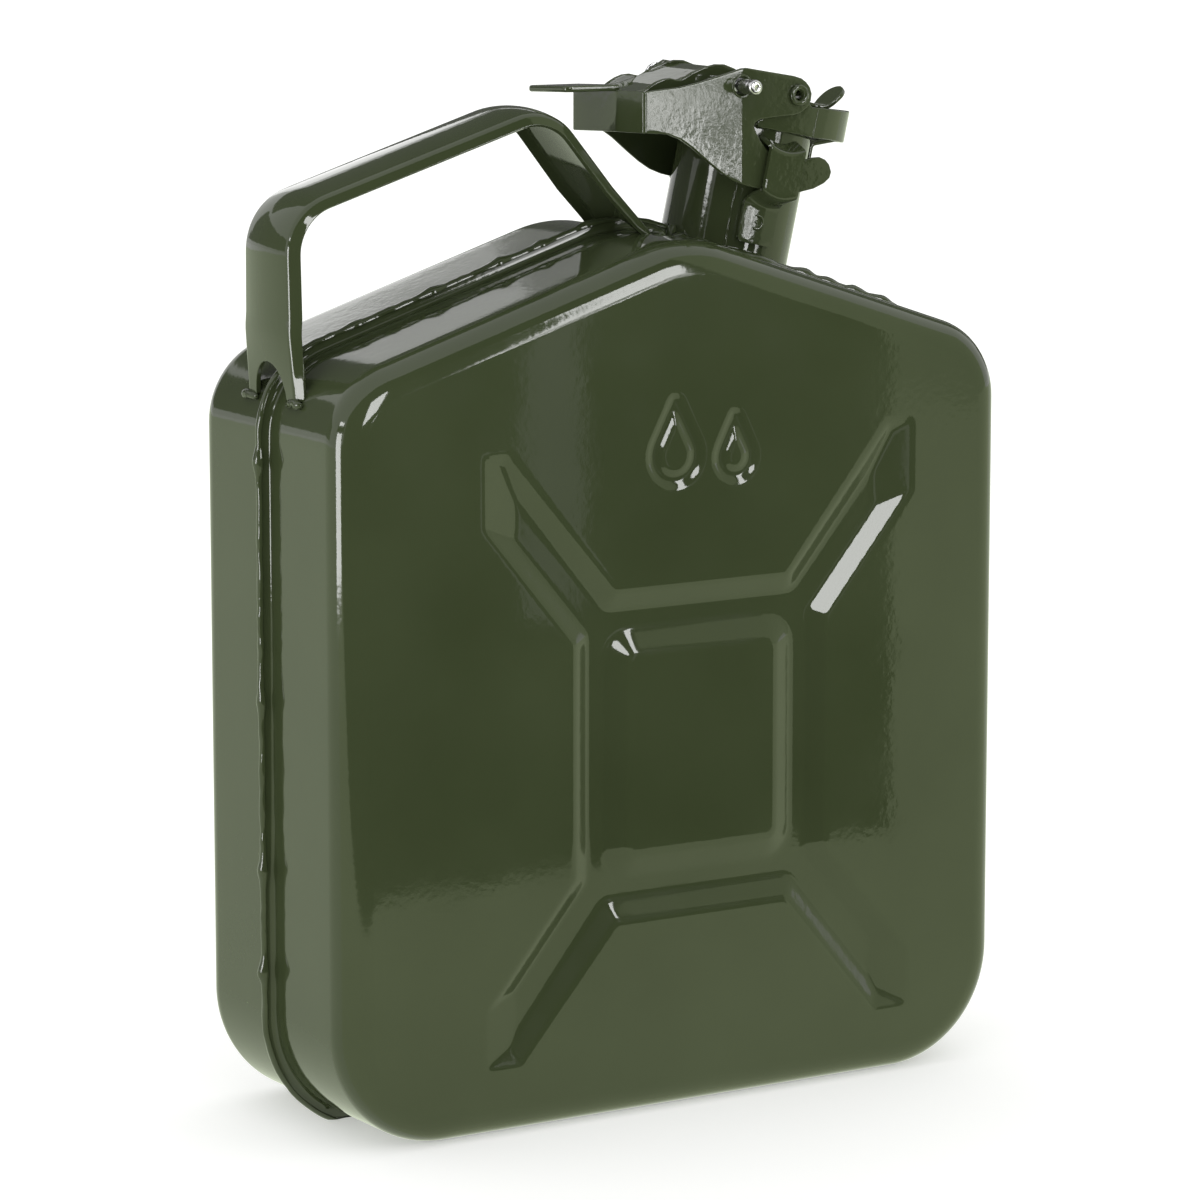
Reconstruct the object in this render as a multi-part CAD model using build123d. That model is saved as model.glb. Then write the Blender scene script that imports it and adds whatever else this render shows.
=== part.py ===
from build123d import *
import os
from math import cos, radians, sin, tan

# A 5 litre pressed-steel jerry can with a clamp-lever closure.
# Frame: origin on the floor under the middle of the can, +Z up, +X towards
# the filler neck, -Y towards the front panel. All sizes are in millimetres.

# Driving dimensions of the tank
BODY_WIDTH = 240.0
BODY_DEPTH = 90.0
SHOULDER_HEIGHT = 233.0
APEX_HEIGHT = 272.0
APEX_X = 4.0
BOTTOM_RADIUS = 37.0
SHOULDER_RADIUS = 26.0
APEX_RADIUS = 45.0
PANEL_EDGE_RADIUS = 10.0
SHEET = 0.9

# Seam flange round the middle of the tank
SEAM_PROUD = 3.5
SEAM_GROUND_CLEARANCE = 1.0
CHANNEL_DEPTH = 4.2
CHANNEL_FOOT = 8.0
CHANNEL_TOP = 4.0
WELD_PROUD = 0.8
WELD_HALF_WIDTH = 1.4

# Pressed relief of each panel
RELIEF_X = 6.5
RELIEF_Z = 113.7
RELIEF_DEPTH = 3.3
RING_HALF_WIDTH = 46.3
RING_HALF_HEIGHT = 51.4
PILLOW_HALF_WIDTH = 27.0
PILLOW_HALF_HEIGHT = 31.5
ARM_REACH = 78.0
TOP_ARM_TIP_Z = 210.0
BOTTOM_ARM_TIP_Z = 22.0
ARM_SKEW = 33.0
ARM_ROOT_X = 31.3
ARM_SLOPE = 50.0
RELIEF_WALL = 6.5

# Handle, bent from one strip
HANDLE_THICKNESS = 1.5
HANDLE_TOP_WIDTH = 27.5
HANDLE_FOOT_WIDTH = 36.0
HANDLE_FLANGE = 4.6
HANDLE_FLARE_HEIGHT = 38.0
HANDLE_MIDDLE_X = -60.0
HANDLE_BAR_RADIUS = 20.0
HANDLE_ARCH_HALF_WIDTH = 9.2
HANDLE_ARCH_HEIGHT = 11.0
WELD_RADIUS = 1.8

# Filler neck: U runs across the neck and V along it, from where it leaves the tank
NECK_TILT = 13.0
NECK_X = 42.4
NECK_Z = 259.0
NECK_RADIUS = 20.5
NECK_WALL = 1.0
NECK_TOP = 42.0
NECK_DIP = 7.0
RIM_LIP = 3.0
BREATHER_RADIUS = 3.0
BREATHER_OFFSET = 16.2

# Closure
PIVOT_U = 0.3
PIVOT_V = 53.2
LID_PIN_U = -20.7
LID_PIN_V = 52.0
LID_PIN_RADIUS = 2.4
LID_PIN_FRONT = 32.4
LID_PIN_REAR = 27.2
RUNNING_CLEARANCE = 0.06
LEVER_SHEET = 1.5
CHEEK_INSIDE = 22.7
CHEEK_OUTSIDE = CHEEK_INSIDE + LEVER_SHEET
TONGUE_INNER_RADIUS = 21.0
TONGUE_OUTER_RADIUS = 31.0
NOSE_X = -0.6
NOSE_LOW_Z = 301.0
NOSE_TOP_Z = 314.0
NOSE_FRONT_X = -5.0
NOSE_FRONT_HALF_WIDTH = 12.0
TAB_TIP_X = -22.0
TAB_HALF_WIDTH = 11.5
TAB_RISE = 1.7
BOW_INSIDE = 20.8
BOW_SHEET = 1.5
BOW_REAR_CENTRE = 12.8
BOW_HEIGHT = 9.7
BOW_TILT = 6.7
BRACKET_LEFT = -8.5
BRACKET_RIGHT = 4.5
RIVET_RADIUS = 2.2
RIVET_HOLE = 1.3
RIVET_HEAD_RADIUS = 3.1
LID_RADIUS = 19.8
LID_GAP = 0.1
GASKET_THICKNESS = 2.5
SADDLE_HALF_WIDTH = 12.4
TAIL_HALF_WIDTH = 4.5

NECK_PLANE = Plane(
    origin=(NECK_X, 0, NECK_Z),
    x_dir=(cos(radians(NECK_TILT)), 0, -sin(radians(NECK_TILT))),
    z_dir=(sin(radians(NECK_TILT)), 0, cos(radians(NECK_TILT))),
)
# Its first direction is U, its second V, and it faces -Y
SIDE_PLANE = Plane(origin=NECK_PLANE.origin, x_dir=NECK_PLANE.x_dir, z_dir=(0, -1, 0))


def between(sketch, near, far):
    """A sketch in SIDE_PLANE made solid between two distances in front of the mid-plane."""
    return extrude(SIDE_PLANE.offset(near) * sketch, far - near)


def both_sides(part):
    """The part with its mirror image behind the mid-plane."""
    return part + mirror(part, about=Plane.XZ)


def on_neck_axis(radius, low, high):
    """A cylinder on the neck's axis between two V."""
    return NECK_PLANE * Pos(0, 0, low) * extrude(Circle(radius), high - low)


# Tank ------------------------------------------------------------------------

def body_outline():
    """The tank's outline seen from the front."""
    half = BODY_WIDTH / 2
    outline = make_face(Polyline(
        (-half, 0), (half, 0), (half, SHOULDER_HEIGHT), (APEX_X, APEX_HEIGHT), (-half, SHOULDER_HEIGHT),
        close=True))
    outline = fillet(outline.vertices().sort_by(Axis.Y)[-1], APEX_RADIUS)
    outline = fillet(outline.vertices().group_by(Axis.Y)[0], BOTTOM_RADIUS)
    high = outline.vertices().filter_by(lambda v: v.Y > SHOULDER_HEIGHT - 1)
    return fillet(high.filter_by(lambda v: abs(abs(v.X) - half) < 0.01), SHOULDER_RADIUS)


def relief_outline():
    """Outline of the pressed X round the middle of a panel, without its pillow."""
    slope = tan(radians(ARM_SLOPE))

    def upper_side(x):
        return RING_HALF_HEIGHT + slope * (x - ARM_ROOT_X)

    points = []
    for side, up in ((1, 1), (-1, 1), (-1, -1), (1, -1)):
        tip = TOP_ARM_TIP_Z - RELIEF_Z if up > 0 else RELIEF_Z - BOTTOM_ARM_TIP_Z
        arm = [
            (RING_HALF_WIDTH, upper_side(RING_HALF_WIDTH) - ARM_SKEW),
            (ARM_REACH, upper_side(ARM_REACH) - ARM_SKEW),
            (ARM_REACH, tip),
            (ARM_ROOT_X + (tip - RING_HALF_HEIGHT) / slope, tip),
            (ARM_ROOT_X, RING_HALF_HEIGHT),
        ]
        if side * up < 0:
            arm.reverse()
        points += [(RELIEF_X + side * x, RELIEF_Z + up * z) for x, z in arm]
    return make_face(Polyline(*points, close=True))


def relief_tool(grow):
    """What is pressed out of a panel: the X, less the pillow in its middle, with sloping walls."""
    start = BODY_DEPTH / 2 + 1
    depth = RELIEF_DEPTH + 1 + grow
    wall = RELIEF_WALL / 2 - grow / 2
    band = Plane.XZ.offset(start) * offset(relief_outline(), -wall, kind=Kind.INTERSECTION)
    pillow = Rectangle(2 * (PILLOW_HALF_WIDTH + wall), 2 * (PILLOW_HALF_HEIGHT + wall))
    pillow = fillet(pillow.vertices(), RELIEF_WALL)
    pillow = Plane.XZ.offset(start) * Pos(RELIEF_X, RELIEF_Z) * pillow
    return extrude(band - pillow, -depth)


def half_tank(inset):
    """The front half of the tank as a solid, drawn in by an inset on every side."""
    outline = body_outline()
    if inset:
        outline = offset(outline, -inset, kind=Kind.ARC)
    half = extrude(Plane.XZ * outline, BODY_DEPTH / 2 - inset)
    half = fillet(half.faces().sort_by(Axis.Y)[0].edges(), PANEL_EDGE_RADIUS - inset)
    half -= relief_tool(inset)
    return half - bottom_channel(inset)


def bottom_channel(grow):
    """The channel under the tank that keeps the seam flange off the floor."""
    section = make_face(Polyline(
        (-CHANNEL_FOOT - grow, -1), (-CHANNEL_TOP - grow, CHANNEL_DEPTH + grow),
        (CHANNEL_TOP + grow, CHANNEL_DEPTH + grow), (CHANNEL_FOOT + grow, -1), close=True))
    return extrude(Plane.YZ * section, BODY_WIDTH, both=True)


def above_ground(sketch, height):
    """A front-view sketch without what lies lower than a height."""
    return sketch - Pos(0, height - BODY_WIDTH) * Rectangle(2 * BODY_WIDTH, 2 * BODY_WIDTH)


def seam_flange():
    """The front shell's flange, in front of the mid-plane."""
    face = above_ground(offset(body_outline(), SEAM_PROUD, kind=Kind.ARC), SEAM_GROUND_CLEARANCE)
    inside = above_ground(offset(body_outline(), -SHEET, kind=Kind.ARC), CHANNEL_DEPTH + SHEET)
    return extrude(Plane.XZ * (face - inside), SHEET)


def front_shell():
    shell = half_tank(0) - half_tank(SHEET) + seam_flange()
    return shell - on_neck_axis(NECK_RADIUS, -2 * NECK_DIP, NECK_TOP)


def seam_weld():
    """The bead that closes the two flanges, left off where the neck stands."""
    outer = offset(body_outline(), SEAM_PROUD + WELD_PROUD, kind=Kind.ARC)
    outer = above_ground(outer, SEAM_GROUND_CLEARANCE / 2)
    inner = above_ground(offset(body_outline(), SEAM_PROUD, kind=Kind.ARC), SEAM_GROUND_CLEARANCE)
    bead = extrude(Plane.XZ * (outer - inner), WELD_HALF_WIDTH, both=True)
    return bead - on_neck_axis(NECK_RADIUS + RIM_LIP, -2 * NECK_DIP, NECK_TOP)


def tank_envelope():
    """Both halves of the tank as one solid, for trimming what is welded to it."""
    half = extrude(Plane.XZ * body_outline(), BODY_DEPTH / 2)
    return both_sides(fillet(half.faces().sort_by(Axis.Y)[0].edges(), PANEL_EDGE_RADIUS))


# Handle ----------------------------------------------------------------------

HANDLE_FOOT = (-118.5, 226.0)
HANDLE_KNEE = (-121.3, 246.0)
HANDLE_LEFT_CORNER = (-121.3, 283.9)
HANDLE_RIGHT_CORNER = (-27.7, 312.6)
HANDLE_TOE = (11.0, 266.0)


def set_in(points, depth):
    """The points of a bent line moved to its right by a depth, mitred at the corners."""
    normals = []
    for start, end in zip(points, points[1:]):
        run = Vector(*end) - Vector(*start)
        normals.append(Vector(run.Y, -run.X).normalized())
    before = [normals[0]] + normals
    after = normals + [normals[-1]]
    return [Vector(*point) + (a + b) * (depth / (1 + a.dot(b))) for point, a, b in zip(points, before, after)]


def handle_band(depth):
    """The handle's bent line from the front, as a band of a depth under its outer side."""
    points = [HANDLE_FOOT, HANDLE_KNEE, HANDLE_LEFT_CORNER, HANDLE_RIGHT_CORNER, HANDLE_TOE]
    bend = HANDLE_BAR_RADIUS
    outer = FilletPolyline(*points, radius=[bend, bend, bend])
    inner = FilletPolyline(*set_in(points, depth), radius=[bend - depth, bend - depth, bend - depth])
    return make_face(outer + Line(outer @ 1, inner @ 1) + inner + Line(inner @ 0, outer @ 0))


def foot_flare(low):
    """Outline across the handle: wide at a foot, narrow from the end of its flare up."""
    half_top = HANDLE_TOP_WIDTH / 2
    half_foot = HANDLE_FOOT_WIDTH / 2
    neck = low + HANDLE_FLARE_HEIGHT
    return make_face(Polyline(
        (-half_foot, low - 5), (half_foot, low - 5), (half_foot, low), (half_top, neck),
        (half_top, APEX_HEIGHT + 60), (-half_top, APEX_HEIGHT + 60), (-half_top, neck), (-half_foot, low),
        close=True))


def foot_arch(low):
    """Outline of the arch that clears the seam under a foot."""
    width = 2 * HANDLE_ARCH_HALF_WIDTH
    return Pos(0, low) * (Ellipse(width / 2, HANDLE_ARCH_HEIGHT) + Pos(0, -5) * Rectangle(width, 10))


def handle():
    """A strip with turned-down edges that flares into two feet, each arched over the seam."""
    strip = extrude(Plane.XZ * handle_band(HANDLE_THICKNESS), HANDLE_FOOT_WIDTH / 2, both=True)
    edges = extrude(Plane.XZ * handle_band(HANDLE_FLANGE), HANDLE_TOP_WIDTH / 2, both=True)
    between_edges = HANDLE_TOP_WIDTH / 2 - HANDLE_THICKNESS
    edges -= extrude(Plane.XZ * handle_band(2 * HANDLE_FLANGE), between_edges, both=True)
    half = Plane.YZ.offset(HANDLE_MIDDLE_X)
    result = Part()
    for low, away in ((HANDLE_FOOT[1], -BODY_WIDTH), (HANDLE_TOE[1], BODY_WIDTH)):
        leg = strip & extrude(half * (foot_flare(low) - foot_arch(low)), away)
        straight = Pos(0, low + HANDLE_FLARE_HEIGHT + APEX_HEIGHT / 2) * Rectangle(BODY_WIDTH, APEX_HEIGHT)
        result += leg + (edges & extrude(half * straight, away))
    return result - tank_envelope()


def handle_weld(x, z):
    """Two short fillet welds under one foot of the handle, either side of the seam."""
    length = HANDLE_FOOT_WIDTH / 2 - HANDLE_ARCH_HALF_WIDTH
    rod = Pos(x, HANDLE_ARCH_HALF_WIDTH, z) * Rot(-90, 0, 0) * extrude(Circle(WELD_RADIUS), length)
    return both_sides(rod) - tank_envelope() - handle()


# Filler neck -----------------------------------------------------------------

def filler_neck():
    """A tube whose top is turned in to a flat rim for the gasket."""
    tube = on_neck_axis(NECK_RADIUS, -NECK_DIP, NECK_TOP)
    tube -= on_neck_axis(NECK_RADIUS - NECK_WALL, -NECK_DIP - 1, NECK_TOP - NECK_WALL)
    return tube - on_neck_axis(NECK_RADIUS - RIM_LIP, 0, NECK_TOP + 1)


def neck_weld():
    """The fillet weld round the foot of the neck."""
    ring = NECK_PLANE * Pos(0, 0, -NECK_DIP) * Cone(
        NECK_RADIUS + 4.5, NECK_RADIUS, NECK_DIP + 5, align=(Align.CENTER, Align.CENTER, Align.MIN))
    ring -= on_neck_axis(NECK_RADIUS, -2 * NECK_DIP, NECK_TOP)
    fin = offset(body_outline(), SEAM_PROUD + WELD_PROUD, kind=Kind.ARC)
    return ring - tank_envelope() - extrude(Plane.XZ * fin, WELD_HALF_WIDTH, both=True)


def breather_tube():
    """The air pipe inside the neck, on the side of the handle."""
    pipe = Circle(BREATHER_RADIUS) - Circle(BREATHER_RADIUS - 0.5)
    return NECK_PLANE * Pos(-BREATHER_OFFSET, 0, -24) * extrude(pipe, NECK_TOP + 18)


def breather_clip():
    """The strap that is spot-welded inside the neck and holds the air pipe."""
    strap = Pos(-BREATHER_OFFSET, 0) * (Circle(BREATHER_RADIUS + 1) - Circle(BREATHER_RADIUS))
    return NECK_PLANE * Pos(0, 0, 6) * extrude(strap & Circle(NECK_RADIUS - NECK_WALL), 7)


# Closure parts that stay with the neck ---------------------------------------

def catch_bracket():
    """The front catch: a foot on the neck and an open loop that the lever's tongue slides into."""
    outside = make_face(Polyline(
        (NECK_RADIUS - 3, 5), (NECK_RADIUS + 1.4, 5), (NECK_RADIUS + 1.4, 17.5), (27.2, 20), (27.2, 35.6),
        (NECK_RADIUS - 3, 38.5), close=True))
    inside = make_face(Polyline(
        (NECK_RADIUS - 3, 19.4), (NECK_RADIUS + 1.6, 20.2), (25.7, 21.2), (25.7, 34.6),
        (NECK_RADIUS - 3, 36.6), close=True))
    # This section plane looks along U: its first direction is -Y and its second V
    across = Plane(origin=NECK_PLANE.origin, x_dir=(0, -1, 0), z_dir=-NECK_PLANE.x_dir)
    loop = extrude(across.offset(-BRACKET_RIGHT) * (outside - inside), BRACKET_RIGHT - BRACKET_LEFT)
    return loop - on_neck_axis(NECK_RADIUS, -1, NECK_TOP + 5)


def bracket_spot_welds():
    """The weld nugget on the foot of each catch."""
    nugget = between(Pos(-2, 11) * Circle(2.4), NECK_RADIUS + 1.4, NECK_RADIUS + 2.0)
    return both_sides(nugget)


def hinge_bow():
    """The strap round the rear of the neck, with an ear at each end for the lever's rivet."""
    def plan(reach):
        arms = Pos((BOW_REAR_CENTRE - 12) / 2, 0) * Rectangle(BOW_REAR_CENTRE + 12, 2 * reach)
        return arms + Pos(BOW_REAR_CENTRE, 0) * Circle(reach)

    tilted = NECK_PLANE * Pos(BOW_REAR_CENTRE, 0, 41.2) * Rot(0, -BOW_TILT, 0) * Pos(-BOW_REAR_CENTRE, 0, 0)
    strap = extrude(plan(BOW_INSIDE + BOW_SHEET), BOW_HEIGHT) - extrude(plan(BOW_INSIDE), BOW_HEIGHT)
    strap -= Pos(-12, 0, 0) * Box(2, 2 * BOW_INSIDE, 3 * BOW_HEIGHT)
    ear = Pos(PIVOT_U, PIVOT_V) * Circle(5.5) + Pos(PIVOT_U, PIVOT_V - 5) * Rectangle(11, 10)
    ear -= Pos(PIVOT_U, PIVOT_V) * Circle(RIVET_RADIUS)
    return tilted * strap + both_sides(between(ear, BOW_INSIDE, BOW_INSIDE + BOW_SHEET))


def bow_stay():
    """The bracket that is welded to the rear of the neck and carries the bow."""
    section = make_face(Polyline(
        (NECK_RADIUS - 1, 28), (NECK_RADIUS + 1.5, 28), (NECK_RADIUS + 1.5, 38.5), (34.5, 42.2), (34.0, 43.6),
        (NECK_RADIUS - 1, 40.0), close=True))
    return both_sides(between(section, 0, 6)) - on_neck_axis(NECK_RADIUS, 0, NECK_TOP) - hinge_bow()


def hollow_rivet():
    """The front tubular rivet: it is clenched in the bow's ear, and the lever turns on it."""
    at_pivot = Pos(PIVOT_U, PIVOT_V)
    shank = between(at_pivot * Circle(RIVET_RADIUS), BOW_INSIDE - 0.8, CHEEK_OUTSIDE + 1.3)
    inner_head = between(at_pivot * Circle(RIVET_HEAD_RADIUS), BOW_INSIDE - 0.8, BOW_INSIDE)
    outer_head = between(at_pivot * Circle(RIVET_HEAD_RADIUS), CHEEK_OUTSIDE + 0.3, CHEEK_OUTSIDE + 1.3)
    return shank + inner_head + outer_head - between(at_pivot * Circle(RIVET_HOLE), 0, CHEEK_OUTSIDE + 5)


# Lever -----------------------------------------------------------------------

def cheek_outline():
    """Side of the lever, from its fold at the nose to the tongue under the pivot."""
    pivot = Vector(PIVOT_U, PIVOT_V)

    def polar(radius, degrees):
        return pivot + Vector(radius, 0).rotate(Axis.Z, degrees)

    tip_top = polar(TONGUE_INNER_RADIUS + 1, -51)
    tip_low = polar(TONGUE_OUTER_RADIUS, -62)
    edges = [
        Line((-54.4, 44.3), (-39, 48.8)),
        Line((-39, 48.8), (-22, 57.5)),
        Line((-22, 57.5), polar(6, 84)),
        ThreePointArc(polar(6, 84), polar(6, 0), polar(6, -72)),
        Line(polar(6, -72), (-12.7, 43.1)),
        Line((-12.7, 43.1), polar(TONGUE_INNER_RADIUS, -120)),
        ThreePointArc(polar(TONGUE_INNER_RADIUS, -120), polar(TONGUE_INNER_RADIUS, -85), tip_top),
        ThreePointArc(tip_top, polar(28.6, -48), tip_low),
        ThreePointArc(tip_low, polar(TONGUE_OUTER_RADIUS, -80), polar(TONGUE_OUTER_RADIUS, -100)),
        Spline(polar(TONGUE_OUTER_RADIUS, -100), (-21.3, 26.3), (-39.3, 32.6), (-51.5, 31.9)),
        Line((-51.5, 31.9), (-54.4, 44.3)),
    ]
    return make_face(Curve() + edges)


def nose_outline(inset):
    """The lever's nose from above, closed behind by the line of its folds."""
    side = CHEEK_OUTSIDE - inset
    front = NOSE_FRONT_X + inset
    right = make_face(Polyline(
        (NOSE_X, 0), (NOSE_X, side), (NOSE_X - 1 + inset, side), (front, NOSE_FRONT_HALF_WIDTH), (front, 0),
        close=True))
    return right + mirror(right, about=Plane.XZ)


def lever():
    """Two cheeks joined by a folded nose, whose front runs out into the thumb tab."""
    holes = Pos(PIVOT_U, PIVOT_V) * Circle(RIVET_RADIUS + RUNNING_CLEARANCE)
    holes += Pos(LID_PIN_U, LID_PIN_V) * Circle(LID_PIN_RADIUS)
    cheeks = both_sides(between(cheek_outline() - holes, CHEEK_INSIDE, CHEEK_OUTSIDE))
    wall = nose_outline(0) - nose_outline(LEVER_SHEET)
    wall = Pos(0, 0, NOSE_LOW_Z) * extrude(wall, NOSE_TOP_Z - NOSE_LOW_Z)
    tab_length = NOSE_FRONT_X + LEVER_SHEET - TAB_TIP_X
    tab = Pos(TAB_TIP_X + tab_length / 2, 0) * Rectangle(tab_length, 2 * TAB_HALF_WIDTH)
    tab = fillet(tab.vertices().group_by(Axis.X)[0], LEVER_SHEET)
    tab_top = NOSE_TOP_Z + TAB_RISE
    tab = Pos(0, 0, NOSE_TOP_Z - LEVER_SHEET) * extrude(tab, tab_top - NOSE_TOP_Z + LEVER_SHEET)
    return cheeks + wall + tab


def lid_pin():
    """The zinc-plated steel pin through both cheeks, which the lid hangs on."""
    pin = between(Pos(LID_PIN_U, LID_PIN_V) * Circle(LID_PIN_RADIUS), -LID_PIN_REAR, LID_PIN_FRONT)
    return chamfer(pin.faces().sort_by(Axis.Y)[0].edges(), 0.4)


def pin_clip():
    """The retaining washer on the far end of the pin."""
    ring = Pos(LID_PIN_U, LID_PIN_V) * (Circle(4.6) - Circle(LID_PIN_RADIUS))
    return between(ring, -CHEEK_OUTSIDE - 1, -CHEEK_OUTSIDE)


# Lid -------------------------------------------------------------------------

LID_SEAT = NECK_TOP + LID_GAP


def lid_gasket():
    """The rubber ring that seats on the neck's rim."""
    ring = on_neck_axis(LID_RADIUS - 1.2, LID_SEAT, LID_SEAT + GASKET_THICKNESS)
    return ring - on_neck_axis(NECK_RADIUS - RIM_LIP - 2, LID_SEAT - 1, LID_SEAT + 5)


def gasket_retainer():
    """The shallow pressed cup inside the gasket, fixed under the lid."""
    radius = NECK_RADIUS - RIM_LIP - 2
    cup = on_neck_axis(radius, LID_SEAT - 0.6, LID_SEAT + GASKET_THICKNESS)
    return cup - on_neck_axis(radius - 0.8, LID_SEAT - 1, LID_SEAT + GASKET_THICKNESS - 0.8)


def lid_cap():
    """The pressed lid: a flat disc with a short turned-down edge round the gasket."""
    base = LID_SEAT + GASKET_THICKNESS
    cap = on_neck_axis(LID_RADIUS, base - 1.8, base + 1.2)
    return cap - on_neck_axis(LID_RADIUS - 1.2, base - 3, base)


def lid_saddle():
    """The strap over the pin that carries the lid, with its tail over the bow."""
    top = LID_SEAT + GASKET_THICKNESS + 1.2
    line = [(-51.6, 43.4), (-41.5, 47.4), (-28.4, 54.7), (-22.5, 57), (-15.5, 57), (-7.5, 55), (14, 55)]
    web = make_face(Polyline(*line, *reversed(set_in(line, LEVER_SHEET)), close=True))
    strap = between(web, -SADDLE_HALF_WIDTH, SADDLE_HALF_WIDTH)
    pin_place = Pos(LID_PIN_U, LID_PIN_V)
    cheek = make_face(Polyline(
        (-50.6, 42.8), (-46, 42.4), (-38, 45), (-29, 48), (-19, 48.4), (-12, top), (8, top), (9, 54.4),
        (-8, 55), (-16.9, 57.6), (-20.7, 58.1), (-28, 55.8), (-35, 50.6), (-42, 49), (-47.6, 45), close=True))
    cheek -= pin_place * Circle(LID_PIN_RADIUS + RUNNING_CLEARANCE)
    flange = both_sides(between(cheek, SADDLE_HALF_WIDTH - LEVER_SHEET, SADDLE_HALF_WIDTH))
    tail_line = [(12, 55.2), (24, 55.4), (29, 56.6), (33, 59.6)]
    tail = make_face(Polyline(*tail_line, *reversed(set_in(tail_line, LEVER_SHEET)), close=True))
    return strap + flange + between(tail, -TAIL_HALF_WIDTH, TAIL_HALF_WIDTH)


def build():
    """Each sub-part under the name of its node."""
    shell = front_shell()
    bracket = catch_bracket()
    rivet = hollow_rivet()
    return {
        "front_shell": shell,
        "rear_shell": mirror(shell, about=Plane.XZ),
        "seam_weld": seam_weld(),
        "handle": handle(),
        "handle_weld_side": handle_weld(HANDLE_FOOT[0] + 0.6, HANDLE_FOOT[1] - 1),
        "handle_weld_top": handle_weld(HANDLE_TOE[0] - 1, HANDLE_TOE[1] + 4),
        "filler_neck": filler_neck(),
        "neck_weld": neck_weld(),
        "breather_tube": breather_tube(),
        "breather_clip": breather_clip(),
        "catch_bracket_front": bracket,
        "catch_bracket_rear": mirror(bracket, about=Plane.XZ),
        "bracket_spot_welds": bracket_spot_welds(),
        "hinge_bow": hinge_bow(),
        "bow_stay": bow_stay(),
        "pivot_rivet_front": rivet,
        "pivot_rivet_rear": mirror(rivet, about=Plane.XZ),
        "lever": lever(),
        "lid_pin": lid_pin(),
        "pin_clip": pin_clip(),
        "lid_cap": lid_cap(),
        "lid_gasket": lid_gasket(),
        "gasket_retainer": gasket_retainer(),
        "lid_saddle": lid_saddle(),
    }


os.makedirs("parts", exist_ok=True)
for node, shape in build().items():
    export_step(shape, f"parts/{node}.step")
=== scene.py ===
from math import atan2, ceil, cos, hypot, pi, radians, sin, sqrt, tan

import bmesh
import bpy
import numpy as np
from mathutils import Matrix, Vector, noise
from mathutils.geometry import delaunay_2d_cdt, tessellate_polygon


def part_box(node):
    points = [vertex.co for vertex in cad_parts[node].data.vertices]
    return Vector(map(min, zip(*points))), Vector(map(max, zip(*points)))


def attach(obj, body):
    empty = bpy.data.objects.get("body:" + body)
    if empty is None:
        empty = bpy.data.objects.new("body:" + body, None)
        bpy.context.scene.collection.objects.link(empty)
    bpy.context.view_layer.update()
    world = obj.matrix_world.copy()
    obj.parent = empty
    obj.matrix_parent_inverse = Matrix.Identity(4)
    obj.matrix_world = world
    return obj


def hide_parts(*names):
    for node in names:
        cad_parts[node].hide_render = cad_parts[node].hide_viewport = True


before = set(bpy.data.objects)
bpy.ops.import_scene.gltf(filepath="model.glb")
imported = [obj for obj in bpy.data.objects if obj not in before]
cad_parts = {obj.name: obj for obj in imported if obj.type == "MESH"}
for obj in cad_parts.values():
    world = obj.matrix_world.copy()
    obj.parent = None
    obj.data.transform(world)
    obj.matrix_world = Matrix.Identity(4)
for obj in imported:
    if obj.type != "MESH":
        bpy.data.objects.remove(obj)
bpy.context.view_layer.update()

# A 5 litre pressed-steel jerry can. Lengths in this script are in millimetres
# and become metres when a mesh is made. X runs across the can, Y from its front
# to its rear and Z up; the filler neck leans towards +X.

MM = 0.001


def low_high(node):
    """The corners of a CAD node's box in millimetres."""
    low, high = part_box(node)
    return np.array(low) / MM, np.array(high) / MM


# Sizes taken from the frame
SEAM_PROUD = 3.5
SHELL_LOW, SHELL_HIGH = low_high("front_shell")
HALF_WIDTH = SHELL_HIGH[0] - SEAM_PROUD
HALF_DEPTH = -SHELL_LOW[1]
SHOULDER_HEIGHT = 233.0
APEX_HEIGHT = 272.0
APEX_X = 4.0
BOTTOM_RADIUS = 37.0
SHOULDER_RADIUS = 26.0
APEX_RADIUS = 45.0
PANEL_EDGE_RADIUS = 10.0
SHEET = 0.9
CHANNEL_DEPTH = 4.2
CHANNEL_FOOT = 8.0
CHANNEL_TOP = 4.0
SEAM_GROUND_CLEARANCE = 1.0

# Frame of the filler neck: U runs across it and V along it
NECK_TILT = radians(13.0)
NECK_ORIGIN = np.array([42.4, 0.0, 259.0])
NECK_U = np.array([cos(NECK_TILT), 0.0, -sin(NECK_TILT)])
NECK_V = np.array([sin(NECK_TILT), 0.0, cos(NECK_TILT)])
NECK_RADIUS = 20.5
NECK_TOP = 42.0


# Mesh helpers

def wobble(point, size, seed=0.0):
    """Smooth noise between -1 and 1 that changes over a length of about size."""
    return noise.noise(Vector((point[0] / size + seed, point[1] / size, point[2] / size)))


def weighted_normals(piece):
    """Shades flat faces flat and the rounded edges between them smooth."""
    piece.data.shade_smooth()
    modifier = piece.modifiers.new("normals", "WEIGHTED_NORMAL")
    modifier.mode = "FACE_AREA"
    modifier.keep_sharp = True


def add_object(name, points, faces, scale=1.0):
    """A mesh object in the scene, its points scaled to metres."""
    mesh = bpy.data.meshes.new(name)
    mesh.from_pydata([tuple(scale * float(c) for c in p) for p in points], [], [tuple(f) for f in faces])
    item = bpy.data.objects.new(name, mesh)
    bpy.context.scene.collection.objects.link(item)
    return item


def make_piece(name, body, node, points, faces, material, slot="olive_paint"):
    """A mesh object that stands for a CAD node, rides on its body and has a finish."""
    piece = add_object(name, points, faces, MM)
    piece.data.validate()
    piece.data.materials.append(material)
    weighted_normals(piece)
    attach(piece, body)
    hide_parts(node)
    return piece


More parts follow.
